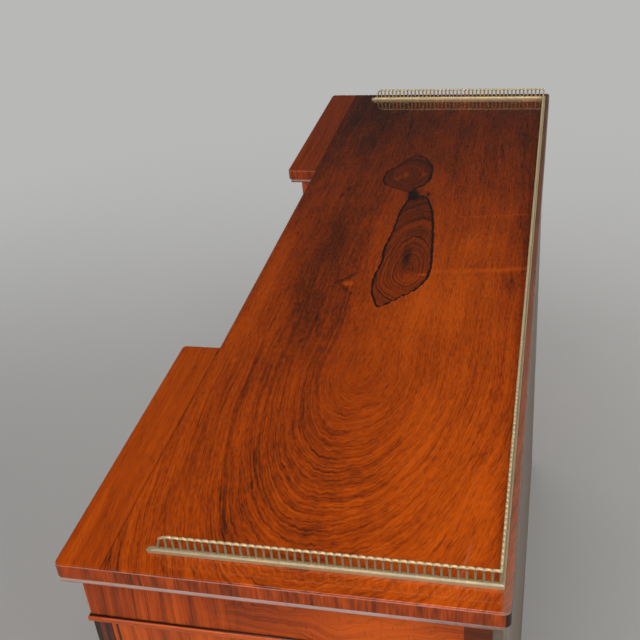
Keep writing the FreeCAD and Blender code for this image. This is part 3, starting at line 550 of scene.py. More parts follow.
def top_rosewood(name):
    """The top's veneer: one broad sheet with a nest of arches, two dark patches and cross-banded edges."""
    veneer = settings().veneer
    finish = Finish(name)
    x, y, z = finish.place()

    # The sheet grows round a heart near the right-hand end, from which the lines stream back
    drift = noise(x * 2.3, y * 5.0, 0.0) - 0.5
    sway = noise(x * 9.0, y * 24.0, 3.0) - 0.5
    teeth = noise(x * 26.0, y * 135.0, 5.0, 1.0) - 0.5
    level = y - HEART[1] + drift * (40 * MM) + sway * (7 * MM)
    level = level.most(0.0) + (-level).most(0.0) * 1.42
    ahead = (x - HEART[0] + drift * (50 * MM) + teeth * (8 * MM)).most(0.0) / 2.0
    growth = (ahead ** 2 + level ** 2).root()

    # Its lines, from the broadest to the finest
    bands = noise(growth / (30 * MM), x * 1.7, y * 4.0, 3.0)
    streaks = noise(growth / (5 * MM), x * 4.0, y * 9.0, 3.0, 0.6)
    dashes = noise(growth / (2.0 * MM), x * 85.0, y * 85.0, 2.0)
    fibres = noise(growth / (1.2 * MM), x * 20.0, y * 24.0, 2.0, 0.6)
    flecks = fibres.step(0.55, 0.70)
    pores = noise(growth / (0.9 * MM), x * 60.0, y * 40.0, 1.0).step(0.58, 0.72)
    turn = (growth / (10.5 * MM) + streaks * 0.9).fraction()
    rings = turn.step(0.62, 0.94) * turn.step(1.0, 0.96) * 0.58
    turn = (growth / (3.3 * MM) + bands * 2.2).fraction()
    rings += turn.step(0.55, 0.92) * turn.step(1.0, 0.94) * 0.6
    cloud = noise(x * 11.0, y * 24.0, 8.0, 3.0)
    ripple = noise(x * 150.0, y * 240.0, 4.0, 1.0)

    # The rings stand out in the nest, and the lines fade at the heart and far from it
    nest = spot(x, y, NEST, (0.10, 0.08))
    heart = growth.step(22 * MM, 66 * MM)
    calm = x.step(0.34, 0.10)
    faint = spot(x, y, HEART, (0.055, 0.045))
    tone = 0.63 + (bands - 0.5) * (0.30 - nest * 0.18 - calm * 0.12)
    tone += (streaks - 0.5) * (0.12 + heart * 0.28) * (1 - calm * 0.4)
    tone += ((fibres - 0.5) * 0.56 - flecks * 0.12) * (1 - faint * 0.65) + (cloud - 0.5) * 0.26
    tone = tone - rings * heart * (0.05 + nest * 0.18) + (ripple - 0.5) * 0.14
    tone += (dashes - 0.5) * 0.33 * (1 - faint * 0.5)
    tone += broad_light(x, y, sway) - single_lines(x, y, teeth)

    # The strips that lengthen the wings
    strip = y.step(STRIP_JOINT + 0.6 * MM, STRIP_JOINT - 0.6 * MM)
    plain = noise(y / (6 * MM), x * 4.0, 9.0, 3.0, 0.6) * 0.6 + fibres * 0.4
    tone = tone.towards(0.22 + plain * 0.76 - x.step(0.1, -0.5) * 0.10, strip)
    tone -= (y - STRIP_JOINT).seam(1.3 * MM) * 0.14
    tone = patched(tone, x, y, sway, teeth, fibres)

    # Edges are banded with veneer whose grain stands upright
    edge = z.step(TOP_LEVEL - 1.2 * MM, TOP_LEVEL - 1.6 * MM)
    girth = x + y
    upright = (noise(girth / (7 * MM), z * 16.0, 3.0, 3.0, 0.65) - 0.5) * 0.85 + 0.3
    upright += noise(girth / (1.2 * MM), z * 30.0, 5.0, 2.0) * 0.4
    tone = tone.towards(0.06 + upright * 0.86, edge)
    arris = z.between(TOP_LEVEL - 1.5 * MM, TOP_LEVEL - 0.25 * MM, 0.25 * MM)
    # A pale line along the lower part of the arris: partly wear, partly a painted highlight
    worn_and_sheen_line = z.between(TOP_LEVEL - 1.7 * MM, TOP_LEVEL - 1.0 * MM, 0.2 * MM)
    # Painted shade: the edge darkens where it rounds onto the back; the arris is a little darker with dirt
    tone -= edge * y.step(BACK_STRIP + 3 * MM, BACK_STRIP + 5 * MM) * 0.4 + arris * 0.10

    # Wear and dust, and a painted highlight along the arris
    colour = tone.ramp(wood_stops(veneer))
    colour = mix(pores * 0.5, colour, veneer.black)
    scratch = (y - SCRATCH[1] + (x - SCRATCH[0]) * 0.13).seam(1.1 * MM)
    scratch *= x.between(0.556, 0.606, 14 * MM)
    colour = mix(scratch * 0.18 + worn_and_sheen_line * (0.10 + 0.40 * bands), colour, veneer.rubbed)
    dusty = y.step(BACK_STRIP - 1.5 * MM, BACK_STRIP + 1.5 * MM) * (1 - edge)
    colour = mix(dusty * (0.30 + 0.4 * cloud), colour, TOP_DUST)
    coat = 1 - (edge * 0.7).most(arris * 0.9).most(dusty * 0.7)
    return polished(finish, colour, 1 - pores, coat)


def straight_grain(run, level, seed):
    """The tone of straight-grown wood, and its pores."""
    bands = noise(level / (30 * MM), run * 2.0, seed, 3.0)
    streaks = noise(level / (5 * MM), run * 4.5, seed, 3.0, 0.6)
    fibres = noise(level / (1.3 * MM), run * 17.0, seed, 2.0)
    pores = noise(level / (0.75 * MM), run * 75.0, seed, 1.0)
    lines = noise(level / (3.4 * MM), run * 2.2, seed + 4.0, 2.0, 0.6)
    tone = 0.60 + (bands - 0.5) * 0.46 + (streaks - 0.5) * 0.60 + (fibres - 0.5) * 0.34
    tone -= lines.step(0.60, 0.68) * 0.14
    return tone - fibres.step(0.56, 0.72) * 0.07, pores.step(0.60, 0.74)


def grain_axes(finish, along):
    """The three object coordinates, and the same with the one along the grain first."""
    axes = finish.place()
    return axes, axes[along], *(axes[axis] for axis in range(3) if axis != along)


def rosewood(name, along, seed=0.0, worked=None, coat=0.6):
    """Straight-grown rosewood whose grain runs along one axis, with a piece's own lights and darks, some of
    them painted highlight and painted shade.
    """
    veneer = settings().veneer
    finish = Finish(name)
    axes, run, across, deep = grain_axes(finish, along)
    drift = noise(run * 3.0 + seed, across * 7.0, deep * 7.0) - 0.5
    tone, pores = straight_grain(run, across + deep * 0.7 + drift * (24 * MM), seed)
    rubbed = None
    if worked:
        tone, rubbed = worked(tone, *axes)
    colour = tone.ramp(wood_stops(veneer))
    colour = mix(pores * 0.42, colour, veneer.black)
    if rubbed:
        colour = mix(rubbed, colour, veneer.rubbed)
    return polished(finish, colour, 1 - pores, coat)


def bead_wear_and_painted_light(tone, x, y, z):
    """The bead's nose is paled and greyed, partly as wear and partly as a painted highlight; painted shade
    darkens the quirk under it.
    """
    middle = middle_of("bead_moulding").z
    uneven = noise(x * 30.0, y * 30.0, 4.0, 2.0)
    nose = z.between(middle - 1.0 * MM, middle + 2.7 * MM, 0.7 * MM)
    behind = y.step(0.09, 0.18)
    # Painted shade under the bead's middle and toward the back
    shaded = z.step(middle - 2.0 * MM, middle - 3.6 * MM) + behind
    patchy = noise(x * 9.0, y * 9.0, 2.0, 3.0).step(0.40, 0.66)
    # The painted highlight is strongest at the near end and on the returns, where light catches the nose
    returns = abs(x).between(0.245, 0.285, 4 * MM) * y.step(-0.164, -0.170)
    bare_and_lit = x.step(0.60, 0.625).most(returns)
    handled = 0.12 + 0.38 * patchy + (0.88 - 0.38 * patchy) * bare_and_lit
    rubbed = nose * (0.50 + uneven * 0.5) * handled
    return tone - shaded * 0.22, rubbed * (1 - behind * 0.55)


def quirk_shade(tone, x, y, z):
    """Painted shade along the upper side of the astragal."""
    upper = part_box("astragal_moulding")[1].z
    return tone + 0.10 - z.step(upper - 0.9 * MM, upper - 0.2 * MM) * 0.5, None


def end_frieze(tone, x, y, z):
    """Upright grain at the front of the end, then swirls, a bright stretch and a plain block at the back."""
    wind = noise(y * 11.0, z * 16.0, 2.0, 2.0) - 0.5
    coil = noise(y * 30.0, z * 40.0, 6.0, 2.0) - 0.5
    flow = z * 0.9 + wind * (95 * MM) + coil * (14 * MM)
    swirls, _ = straight_grain(y * 0.4, flow, 5.0)
    share = y.step(-0.085, -0.020)
    block = y.step(FRIEZE_BLOCK - 0.4 * MM, FRIEZE_BLOCK + 0.4 * MM)
    tone = tone.towards(swirls, share) - 0.04
    tone += spot(y, z, (0.095, 0.852), (0.065, 0.05)) * 0.20
    tone = tone.towards(tone * 0.4 + 0.20, block)
    tone = (tone - 0.57) * 1.35 + 0.52
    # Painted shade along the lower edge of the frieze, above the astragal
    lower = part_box("frieze_right_end")[0].z
    return tone - z.step(lower + 1.3 * MM, lower + 0.3 * MM) * 0.3, None


def end_panel(tone, x, y, z):
    """A dark line let in near the front edge of the end."""
    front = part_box("right_end_panel")[0].y
    line = y.between(front + 4.4 * MM, front + 6.9 * MM, 0.3 * MM)
    return tone + 0.05 - line * 0.4, None


def door_edge(tone, x, y, z):
    """The outer edge of a door is darkened nearly to black."""
    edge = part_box("right_hinge_stile")[1].x
    return tone - abs(x).step(edge - 0.7 * MM, edge - 0.3 * MM) * 0.36, None


def panel_arches(tone, x, y, z):
    """A door panel's veneer, cut so that its growth stands in tall arches."""
    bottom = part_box("right_panel")[0].z
    sway = noise(x * 9.0, z * 5.0, 7.0) - 0.5
    aside = abs(x) - middle_of("right_panel").x + sway * (26 * MM)
    risen = (z - bottom - 0.12).most(0.0) / 4.2
    arches, _ = straight_grain(z * 0.5, (aside ** 2 + risen ** 2).root(), 12.0)
    return arches + 0.03, None


def back_end(tone, x, y, z):
    """The ends of the plinth show dark end grain at the back."""
    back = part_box("plinth_ends")[1].y
    return tone - y.step(back - 0.9 * MM, back - 0.4 * MM) * 0.34, None


def plain_wood(name, along, shades, dusty, boards=False, lipped=None):
    """Unpolished wood with dust on it, in boards of their own shades, or lipped with veneer in front."""
    finish = Finish(name)
    axes, run, across, deep = grain_axes(finish, along)
    drift = noise(run * 2.0, across * 5.0, deep * 5.0) - 0.5
    level = across + deep * 0.7 + drift * (30 * MM)
    rings = noise(level / (9 * MM), run * 2.0, 1.0, 3.0, 0.6)
    fibres = noise(level / (1.2 * MM), run * 18.0, 2.0, 2.0)
    dust = noise(run * 9.0, across * 9.0, deep * 9.0, 4.0)
    tone = rings * 0.6 + fibres * 0.4
    if boards:
        low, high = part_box("back_boards")
        counted = (axes[0] - low.x) * (BACK_BOARD_COUNT / (high.x - low.x))
        tone += (noise(counted.whole() * 5.37, 0.4, 0.7, 0.0) - 0.5) * 0.45
        tone -= (abs(counted.fraction() - 0.5) - 0.5).seam(0.012) * 0.3
    colour = tone.ramp(list(zip(PLAIN_STOPS, shades)))
    colour = mix(dust.step(0.45, 0.75) * dusty, colour, DUST)
    if boards:
        stained = tone.ramp(list(zip(PLAIN_STOPS, STAINED_WOOD)))
        colour = mix(axes[1].step(low.y + 2 * MM, low.y + 1 * MM), colour, stained)
    if lipped:
        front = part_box(lipped)[0].y
        lip = axes[1].step(front + 3.2 * MM, front + 2.8 * MM)
        colour = mix(lip, colour, (tone + 0.10).ramp(wood_stops(settings().veneer)))
    return finish.done(Base_Color=colour, Roughness=0.5 + 0.3 * fibres,
                       Normal=fibres.bump(0.35, 0.4 * MM))


def wear(x, y, z):
    """Where metal is worn, and the specks in it."""
    cloud = noise(x * 38.0, y * 38.0, z * 38.0, 4.0, 0.6)
    speck = noise(x * 380.0, y * 380.0, z * 380.0, 2.0)
    return (cloud * 0.7 + speck * 0.3).step(0.36, 0.62), speck


def metal(name, clean, dull, roughness, bright):
    """Handled metal, in two of the metal settings' colours: bright where it is worn, dull elsewhere."""
    metals = settings().metal
    finish = Finish(name)
    worn, speck = wear(*finish.place())
    colour = mix(worn, getattr(metals, dull), getattr(metals, clean))
    return finish.done(Base_Color=colour, Metallic=bright - 0.3 * (1 - worn),
                       Roughness=roughness + 0.14 * (1 - worn), Normal=speck.bump(0.10, 0.1 * MM))


def gallery_metal(name):
    """Old lacquered brass: an even grey-green bloom, with more of the metal's shine toward the far end,
    where the colour is painted paler as a sheen; painted highlights pale the loops' heads and painted shade
    darkens the posts.
    """
    metals = settings().metal
    finish = Finish(name)
    x, y, z = finish.place()
    worn, speck = wear(x, y, z)
    # Painted sheen: the brass is made paler, and more metallic, toward the far end
    clean = x.step(0.35, -0.45)
    colour = mix(worn * 0.6 + clean * 0.4, metals.tarnish, metals.brass)
    colour = mix(clean * 0.8, colour, metals.bright)
    # Painted shade down the posts, less toward the far end
    posts = z.between(TOP_LEVEL + 5.6 * MM, TOP_LEVEL + 17.0 * MM, 1.2 * MM)
    colour = mix(posts * (0.50 - 0.25 * clean), colour, metals.shaded_brass)
    # Painted highlight on the loops' heads
    heads = z.step(TOP_LEVEL + 17.5 * MM, TOP_LEVEL + 20 * MM)
    colour = mix(heads * 0.45, colour, metals.bright)
    return finish.done(Base_Color=colour, Metallic=0.22 + 0.18 * worn + 0.10 * clean, Specular_IOR_Level=0.3,
                       Roughness=0.44 - 0.10 * worn, Normal=speck.bump(0.10, 0.1 * MM))


# Each finish: what makes it, and what that is given
MAKERS = {
    "top_rosewood": (top_rosewood, {}),
    "bead_rosewood": (rosewood, {"along": 0, "seed": 2.0, "worked": bead_wear_and_painted_light}),
    "astragal_rosewood": (rosewood, {"along": 1, "seed": 6.0, "worked": quirk_shade}),
    "end_frieze_rosewood": (rosewood, {"along": 2, "seed": 3.0, "worked": end_frieze, "coat": 0.25}),
    "end_rosewood": (rosewood, {"along": 2, "seed": 5.0, "worked": end_panel, "coat": 0.4}),
    "door_upright": (rosewood, {"along": 2, "seed": 8.0, "worked": door_edge}),
    "door_along": (rosewood, {"along": 0, "seed": 9.0, "worked": door_edge}),
    "panel_rosewood": (rosewood, {"along": 2, "seed": 11.0, "worked": panel_arches}),
    "partition_rosewood": (rosewood, {"along": 2, "seed": 13.0, "coat": 0.2}),
    "rosewood_along": (rosewood, {"along": 0}),
    "rosewood_across": (rosewood, {"along": 1, "seed": 4.0, "worked": back_end}),
    "plain_along": (plain_wood, {"along": 0, "shades": BARE_WOOD, "dusty": 0.5}),
    "plain_upright": (plain_wood, {"along": 2, "shades": BARE_WOOD, "dusty": 0.5}),
    "back_board_wood": (plain_wood, {"along": 2, "shades": BARE_WOOD, "dusty": 0.5, "boards": True}),
    "case_wood": (plain_wood, {"along": 0, "shades": STAINED_WOOD, "dusty": 0.12}),
    "bearer_wood": (plain_wood, {"along": 1, "shades": STAINED_WOOD, "dusty": 0.12}),
    "wing_shelf_wood": (plain_wood, {
        "along": 0, "shades": STAINED_WOOD, "dusty": 0.12, "lipped": "left_shelf"}),
    "centre_shelf_wood": (plain_wood, {
        "along": 0, "shades": STAINED_WOOD, "dusty": 0.12, "lipped": "centre_shelf"}),
    "old_brass": (gallery_metal, {}),
    "rubbed_brass": (metal, {"clean": "gilt", "dull": "dull_gilt", "roughness": 0.30, "bright": 0.85}),
    "worn_steel": (metal, {"clean": "steel", "dull": "dark_steel", "roughness": 0.32, "bright": 1.0}),
}


def finish_named(name):
    """A finish, made when it is first asked for."""
    if name in bpy.data.materials:
        return bpy.data.materials[name]
    maker, given = MAKERS[name]
    return maker(name, **given)


# Handling pieces

def alone(piece):
    """Makes a piece the only one selected, and the active one."""
    bpy.ops.object.select_all(action="DESELECT")
    piece.select_set(True)
    bpy.context.view_layer.objects.active = piece


def edit(piece):
    alone(piece)
    bpy.ops.object.mode_set(mode="EDIT")
    bpy.ops.mesh.select_all(action="SELECT")


def leave():
    bpy.ops.object.mode_set(mode="OBJECT")


def select(piece, kind, wanted):
    """Selects those of a piece's vertices, edges or faces that pass a test, in edit mode."""
    bpy.ops.mesh.select_mode(type=kind)
    bpy.ops.mesh.select_all(action="DESELECT")
    mesh = bmesh.from_edit_mesh(piece.data)
    for item in {"VERT": mesh.verts, "EDGE": mesh.edges, "FACE": mesh.faces}[kind]:
        if wanted(item):
            item.select_set(True)
    bmesh.update_edit_mesh(piece.data)


def copied(node, name):
    """A new piece with the shape of a CAD node, its doubles merged and its flat faces made whole."""
    piece = bpy.data.objects.new(name, frame["nodes"][node].data.copy())
    bpy.context.scene.collection.objects.link(piece)
    alone(piece)
    bpy.ops.mesh.customdata_custom_splitnormals_clear()
    edit(piece)
    bpy.ops.mesh.remove_doubles(threshold=0.005 * MM)
    bpy.ops.mesh.dissolve_limited(angle_limit=math.radians(0.5))
    leave()
    return piece


def is_arris(edge):
    """Whether an edge is a long square outer one, and not the line of a mitre."""
    if not edge.is_manifold or not edge.is_convex or edge.calc_length() < ARRIS_LENGTH:
        return False
    way = (edge.verts[0].co - edge.verts[1].co).normalized()
    squared = max(abs(part) for part in way) > 0.999
    return squared and ARRIS_ANGLE < edge.calc_face_angle() < math.pi - ARRIS_ANGLE


def eased(piece, width, wanted=is_arris, segments=2):
    """Rounds the arrises of a piece."""
    edit(piece)
    select(piece, "EDGE", wanted)
    bpy.ops.mesh.bevel(offset=width, segments=segments, clamp_overlap=False, affect="EDGES")
    leave()


def smoothed(piece, degrees=42):
    """Shades smooth where faces meet at less than an angle, and keeps flat stretches flat."""
    alone(piece)
    bpy.ops.object.shade_smooth_by_angle(angle=math.radians(degrees))
    bpy.ops.object.modifier_add(type="WEIGHTED_NORMAL")
    modifier = piece.modifiers[-1]
    modifier.keep_sharp = True
    bpy.ops.object.modifier_apply(modifier=modifier.name)


def attach(piece, body, finish):
    """Gives a piece its finish and fixes it to the body that it moves with."""
    piece.data.materials.clear()
    piece.data.materials.append(finish_named(finish))
    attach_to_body(piece, body)


def stands_for(piece, node, finish):
    attach(piece, BODY_OF[node], finish)
    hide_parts(node)


def dress(node, finish, width=None):
    """Sets a copy of a node with eased arrises in its place."""
    piece = copied(node, f"{node}_dressed")
    if width is None:
        width = settings().veneer.arris
    if width:
        eased(piece, width)
    smoothed(piece)
    stands_for(piece, node, finish)


def joined(whole, parts):
    alone(whole)
    for part in parts:
        part.select_set(True)
    bpy.ops.object.join()
    return whole


def closed(piece):
    """Merges the doubles of a piece and turns its faces outwards."""
    edit(piece)
    bpy.ops.mesh.remove_doubles(threshold=0.001 * MM)
    bpy.ops.mesh.normals_make_consistent(inside=False)
    leave()


def disc(name, sides, radius, place=(0, 0, 0), turn=(0, 0, 0)):
    """A new piece that is a flat filled round."""
    bpy.ops.object.select_all(action="DESELECT")
    bpy.ops.mesh.primitive_circle_add(vertices=sides, radius=radius, fill_type="NGON", location=place,
                                      rotation=turn)
    piece = bpy.context.active_object
    piece.name = name
    bpy.ops.object.transform_apply(location=True, rotation=True)
    return piece


def extruded(way):
    """Draws what is selected out along a vector."""
    bpy.ops.mesh.extrude_region_move(TRANSFORM_OT_translate={"value": way})


def head(name, size, slotted):
    """The model of a screw's or nail's head, which lies at the origin and faces up."""
    radius, height = size
    piece = disc(name, HEAD_SIDES, radius)
    edit(piece)
    extruded(UP * height * HEAD_SIDE)
    extruded(UP * height * (1 - HEAD_SIDE))
    bpy.ops.transform.resize(value=(HEAD_FACE, HEAD_FACE, 1))
    if slotted:
        half = radius * SLOT_HALF
        reach = radius * SLOT_REACH
        for plane in (TO_RIGHT * half, TO_RIGHT * -half, TO_BACK * reach, TO_BACK * -reach):
            bpy.ops.mesh.select_all(action="SELECT")
            bpy.ops.mesh.bisect(plane_co=plane, plane_no=plane.normalized())

        def in_slot(face):
            middle = face.calc_center_median()
            return middle.z > height * 0.9 and abs(middle.x) < half and abs(middle.y) < reach

        select(piece, "FACE", in_slot)
        extruded(UP * height * -SLOT_DEPTH)
    leave()
    closed(piece)
    return piece


def set_about(model, name, places, body, finish):
    """Copies of a model at places, each a point and the way that it faces, joined into one piece."""
    copies = []
    for index, (point, facing) in enumerate(places):
        piece = bpy.data.objects.new(name, model.data.copy())
        bpy.context.scene.collection.objects.link(piece)
        turned = facing.to_track_quat("Z", "Y").to_matrix().to_4x4()
        spun = Matrix.Rotation(index * SLOT_TURN, 4, "Z")
        piece.matrix_world = Matrix.Translation(point) @ turned @ spun
        alone(piece)
        bpy.ops.object.transform_apply(location=True, rotation=True, scale=True)
        copies.append(piece)
    whole = joined(copies[0], copies[1:])
    alone(model)
    bpy.ops.object.delete()
    smoothed(whole, 30)
    attach(whole, body, finish)


# Operators, one for each group of pieces

def upper_arris(edge):
    """Whether an edge runs along the upper arris of the top."""
    ends = [corner.co.z for corner in edge.verts]
    return (edge.is_manifold and edge.is_convex and math.radians(30) < edge.calc_face_angle()
            and abs(ends[0] - ends[1]) < 0.1 * MM and max(abs(end - TOP_LEVEL) for end in ends) < 2 * MM)


class CHIFFONIER_OT_top(bpy.types.Operator):
    """Lay the figured top with its rounded upper arris"""

    bl_idname = "chiffonier.top"
    bl_label = "Top"

    def execute(self, context):
        piece = copied("top_board", "top_board_dressed")
        eased(piece, TOP_ARRIS, upper_arris, 3)
        smoothed(piece)
        stands_for(piece, "top_board", "top_rosewood")
        return {"FINISHED"}


class CHIFFONIER_OT_mouldings(bpy.types.Operator):
    """Smooth the mouldings, with the bead brought out nearly flush with the top's ends"""

    bl_idname = "chiffonier.mouldings"
    bl_label = "Mouldings"

    def execute(self, context):
        bead = copied("bead_moulding", "bead_moulding_dressed")
        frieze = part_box("frieze_right_end")[1].x
        edit(bead)
        for _, sign in SIDES:
            select(bead, "VERT", lambda corner: corner.co.x * sign > frieze + 0.2 * MM)
            bpy.ops.transform.translate(value=TO_RIGHT * (sign * BEAD_OUT))
        leave()
        smoothed(bead)
        stands_for(bead, "bead_moulding", "bead_rosewood")
        dress("astragal_moulding", "astragal_rosewood", 0.0)
        dress("plinth_moulding", "rosewood_along", 0.0)
        return {"FINISHED"}


class CHIFFONIER_OT_frieze(bpy.types.Operator):
    """Veneer the frieze rails, and leave the rails and blocks inside it plain"""

    bl_idname = "chiffonier.frieze"
    bl_label = "Frieze"

    def execute(self, context):
        dress("frieze_left_end", "end_frieze_rosewood")
        dress("frieze_right_end", "end_frieze_rosewood")
        for where in ("left_wing", "right_wing", "centre", "returns"):
            dress(f"frieze_{where}", "rosewood_along")
        dress("frieze_back", "plain_along")
        dress("corner_blocks", "plain_upright")
        return {"FINISHED"}


class CHIFFONIER_OT_case(bpy.types.Operator):
    """Finish the case: its ends, partitions, boards, shelves and back"""

    bl_idname = "chiffonier.case"
    bl_label = "Case"

    def execute(self, context):
        for side, _ in SIDES:
            dress(f"{side}_end_panel", "end_rosewood")
            dress(f"{side}_partition", "partition_rosewood")
            dress(f"{side}_shelf", "wing_shelf_wood")
        dress("centre_shelf", "centre_shelf_wood")
        for node in ("case_bottom", "case_top"):
            dress(node, "case_wood")
        dress("shelf_bearers", "bearer_wood")
        dress("back_boards", "back_board_wood")
        low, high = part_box("back_boards")
        pitch = (high.x - low.x) / BACK_BOARD_COUNT
        levels = [middle_of(node).z for node in ("case_bottom", "case_top")]
        places = [(Vector((low.x + pitch * (board + share), high.y, level)), TO_BACK)
                  for level in levels for board in range(BACK_BOARD_COUNT) for share in (0.2, 0.8)]
        nail = head("nail", NAIL, False)
        set_about(nail, "back_board_nails", places, "carcass", "worn_steel")
        return {"FINISHED"}


class CHIFFONIER_OT_plinth(bpy.types.Operator):
    """Veneer the plinth"""

    bl_idname = "chiffonier.plinth"
    bl_label = "Plinth"

    def execute(self, context):
        dress("plinth_centre", "rosewood_along")
        dress("plinth_wings", "rosewood_along")
        dress("plinth_ends", "rosewood_across")
        dress("plinth_returns", "rosewood_across")
        dress("plinth_back", "plain_along")
        return {"FINISHED"}


class CHIFFONIER_OT_doors(bpy.types.Operator):
    """Veneer the doors: stiles, rails, panels and their beads"""

    bl_idname = "chiffonier.doors"
    bl_label = "Doors"

    def execute(self, context):
        for side, _ in SIDES:
            for piece in ("lock_stile", "hinge_stile"):
                dress(f"{side}_{piece}", "door_upright")
            dress(f"{side}_panel", "panel_rosewood")
            for piece in ("bottom_rail", "top_rail"):
                dress(f"{side}_{piece}", "door_along")
            dress(f"{side}_panel_bead", "door_upright", 0.0)
        return {"FINISHED"}


class CHIFFONIER_OT_hinges(bpy.types.Operator):
    """Finish the hinges"""

    bl_idname = "chiffonier.hinges"
    bl_label = "Hinges"

    def execute(self, context):
        for node in ("case_hinge_leaves", "left_door_hinge_leaves", "right_door_hinge_leaves"):
            dress(node, "rubbed_brass", 0.0)
        low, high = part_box("case_hinge_leaves")
        starts = (low.z, high.z - HINGE_HEIGHT)
        case_places = []
        for side, sign in SIDES:
            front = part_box(f"{side}_end_panel")[0].y
            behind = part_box(f"{side}_hinge_stile")[1].y
            edge = max(abs(corner.x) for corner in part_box(f"{side}_end_panel"))
            door_places = []
            for start in starts:
                for rise, inset in HINGE_SCREW_PLACES:
                    x = sign * (edge - inset)
                    z = start + rise * HINGE_HEIGHT
                    case_places.append((Vector((x, front, z)), TO_FRONT))
                    door_places.append((Vector((x, behind, z)), TO_BACK))
            screw = head("screw", HINGE_SCREW, True)
            set_about(screw, f"{side}_door_hinge_screws", door_places, f"{side}_door", "worn_steel")
        screw = head("screw", HINGE_SCREW, True)
        set_about(screw, "case_hinge_screws", case_places, "carcass", "worn_steel")
        return {"FINISHED"}


def drawn_rod(name, start, way, radius, steps):
    """A turned rod: from its first end, each step is a length along it and the radius reached."""
    piece = disc(name, ROD_SIDES, radius, start, way.to_track_quat("Z", "Y").to_euler())
    edit(piece)
    reached = start.copy()
    for length, wanted in steps:
        extruded(way * length)
        reached += way * length
        share = wanted / radius
        bpy.ops.transform.resize(value=(share, share, share), center_override=reached)
        radius = wanted
    leave()
    closed(piece)
    return piece


def cut_key(side):
    """A key with a round wire bow, a turned collar and a notched bit."""
    node = f"{side}_key"
    low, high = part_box(node)
    level = middle_of(f"{side}_escutcheon").z
    x = middle_of(node).x
    full = (high.x - low.x) / 2
    wire = full * KEY_WIRE
    outer = high.z - level

    # The bow is a wire bent round
    centre = Vector((x, low.y + outer, level))
    bow = drawn_rod(f"{node}_cut", centre + UP * (outer - wire), TO_BACK, wire, [])
    edit(bow)
    bpy.ops.mesh.delete(type="ONLY_FACE")
    bpy.ops.mesh.select_all(action="SELECT")
    bpy.ops.mesh.spin(steps=BOW_STEPS, angle=2 * math.pi, center=centre, axis=TO_RIGHT)
    leave()
    closed(bow)

    # The shank starts inside the bow and ends in a turned tip
    start = centre + TO_BACK * (outer - 2 * wire)
    turned = sum(length for length, _ in (*KEY_COLLAR, KEY_TIP))
    plain = (high.y - start.y - turned, KEY_COLLAR[-1][1])
    steps = [(length, full * share) for length, share in (*KEY_COLLAR, plain, KEY_TIP)]
    shank = drawn_rod("shank", start, TO_BACK, wire, steps)

    # The bit is a plate whose lower edge is drawn out on both sides of a notch
    _, wide, tall = KEY_BIT
    middle = high.y - wide / 2
    bpy.ops.object.select_all(action="DESELECT")
    bpy.ops.mesh.primitive_cube_add(size=1.0, location=(x, middle, level - tall / 2), scale=KEY_BIT)
    bit = bpy.context.active_object
    bpy.ops.object.transform_apply(location=True, rotation=True, scale=True)
    edit(bit)
    for sign in (-1, 1):
        bpy.ops.mesh.select_all(action="SELECT")
        bpy.ops.mesh.bisect(plane_co=(x, middle + sign * KEY_NOTCH, level), plane_no=TO_BACK)
    select(bit, "FACE", lambda face: face.normal.z < -0.9
           and abs(face.calc_center_median().y - middle) > KEY_NOTCH)
    extruded(UP * (-tall / 2))
    leave()
    closed(bit)
    smoothed(joined(bow, [shank, bit]), 40)
    stands_for(bow, node, "worn_steel")


class CHIFFONIER_OT_locks(bpy.types.Operator):
    """Finish the locks, their bolts, keys and escutcheons"""

    bl_idname = "chiffonier.locks"
    bl_label = "Locks"

    def execute(self, context):
        for side, _ in SIDES:
            dress(f"{side}_lock_case", "rubbed_brass", METAL_ARRIS)
            dress(f"{side}_escutcheon", "rubbed_brass", 0.0)
            dress(f"{side}_bolt", "worn_steel", METAL_ARRIS)
            cut_key(side)
            body = f"{side}_door"
            low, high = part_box(f"{side}_lock_case")
            corners = [(Vector((x, high.y, z)), TO_BACK)
                       for x in (low.x + FASTENER_INSET, high.x - FASTENER_INSET)
                       for z in (low.z + FASTENER_INSET, high.z - FASTENER_INSET)]
            screw = head("screw", LOCK_SCREW, True)
            set_about(screw, f"{side}_lock_screws", corners, body, "worn_steel")
            low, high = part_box(f"{side}_escutcheon")
            x = middle_of(f"{side}_escutcheon").x
            ends = [(Vector((x, low.y, z)), TO_FRONT)
                    for z in (low.z + FASTENER_INSET, high.z - FASTENER_INSET)]
            pin = head("pin", PIN, False)
            set_about(pin, f"{side}_escutcheon_pins", ends, body, "rubbed_brass")
        return {"FINISHED"}


def wire_foot(name, foot, wire):
    """The foot of a wire that stands on the gallery's base: a filled round of few sides."""
    piece = disc(name, WIRE_SIDES, wire / 2, foot)
    piece.data.name = name
    return piece


def bent_over(centre, along, steps):
    """Bends the end of a wire a quarter turn about a centre, over towards the way that the row runs."""
    bpy.ops.mesh.spin(steps=steps, angle=math.pi / 2, center=centre, axis=along.cross(UP))


def loop_row(name, foot, along, length, rise, sizes):
    """A row of wire loops with rounded heads, each one post and the head that springs from it."""
    count = round(length / sizes.pitch)
    pitch = length / count
    bend = sizes.bend
    row = wire_foot(name, foot, sizes.wire)
    spring = foot + UP * (rise - bend)
    edit(row)
    extruded(UP * (rise - bend))
    bent_over(spring + along * bend, along, LOOP_STEPS)
    extruded(along * (pitch - 2 * bend))
    bent_over(spring + along * (pitch - bend), along, LOOP_STEPS)
    leave()
    closed(row)
    bpy.ops.object.modifier_add(type="ARRAY")
    array = row.modifiers[-1]
    array.count = count
    array.use_relative_offset = False
    array.use_constant_offset = True
    array.constant_offset_displace = along * pitch
    bpy.ops.object.modifier_apply(modifier=array.name)
    return row


def end_post(foot, rise, wire):
    post = wire_foot("end_post", foot, wire)
    edit(post)
    extruded(UP * rise)
    leave()
    closed(post)
    return post


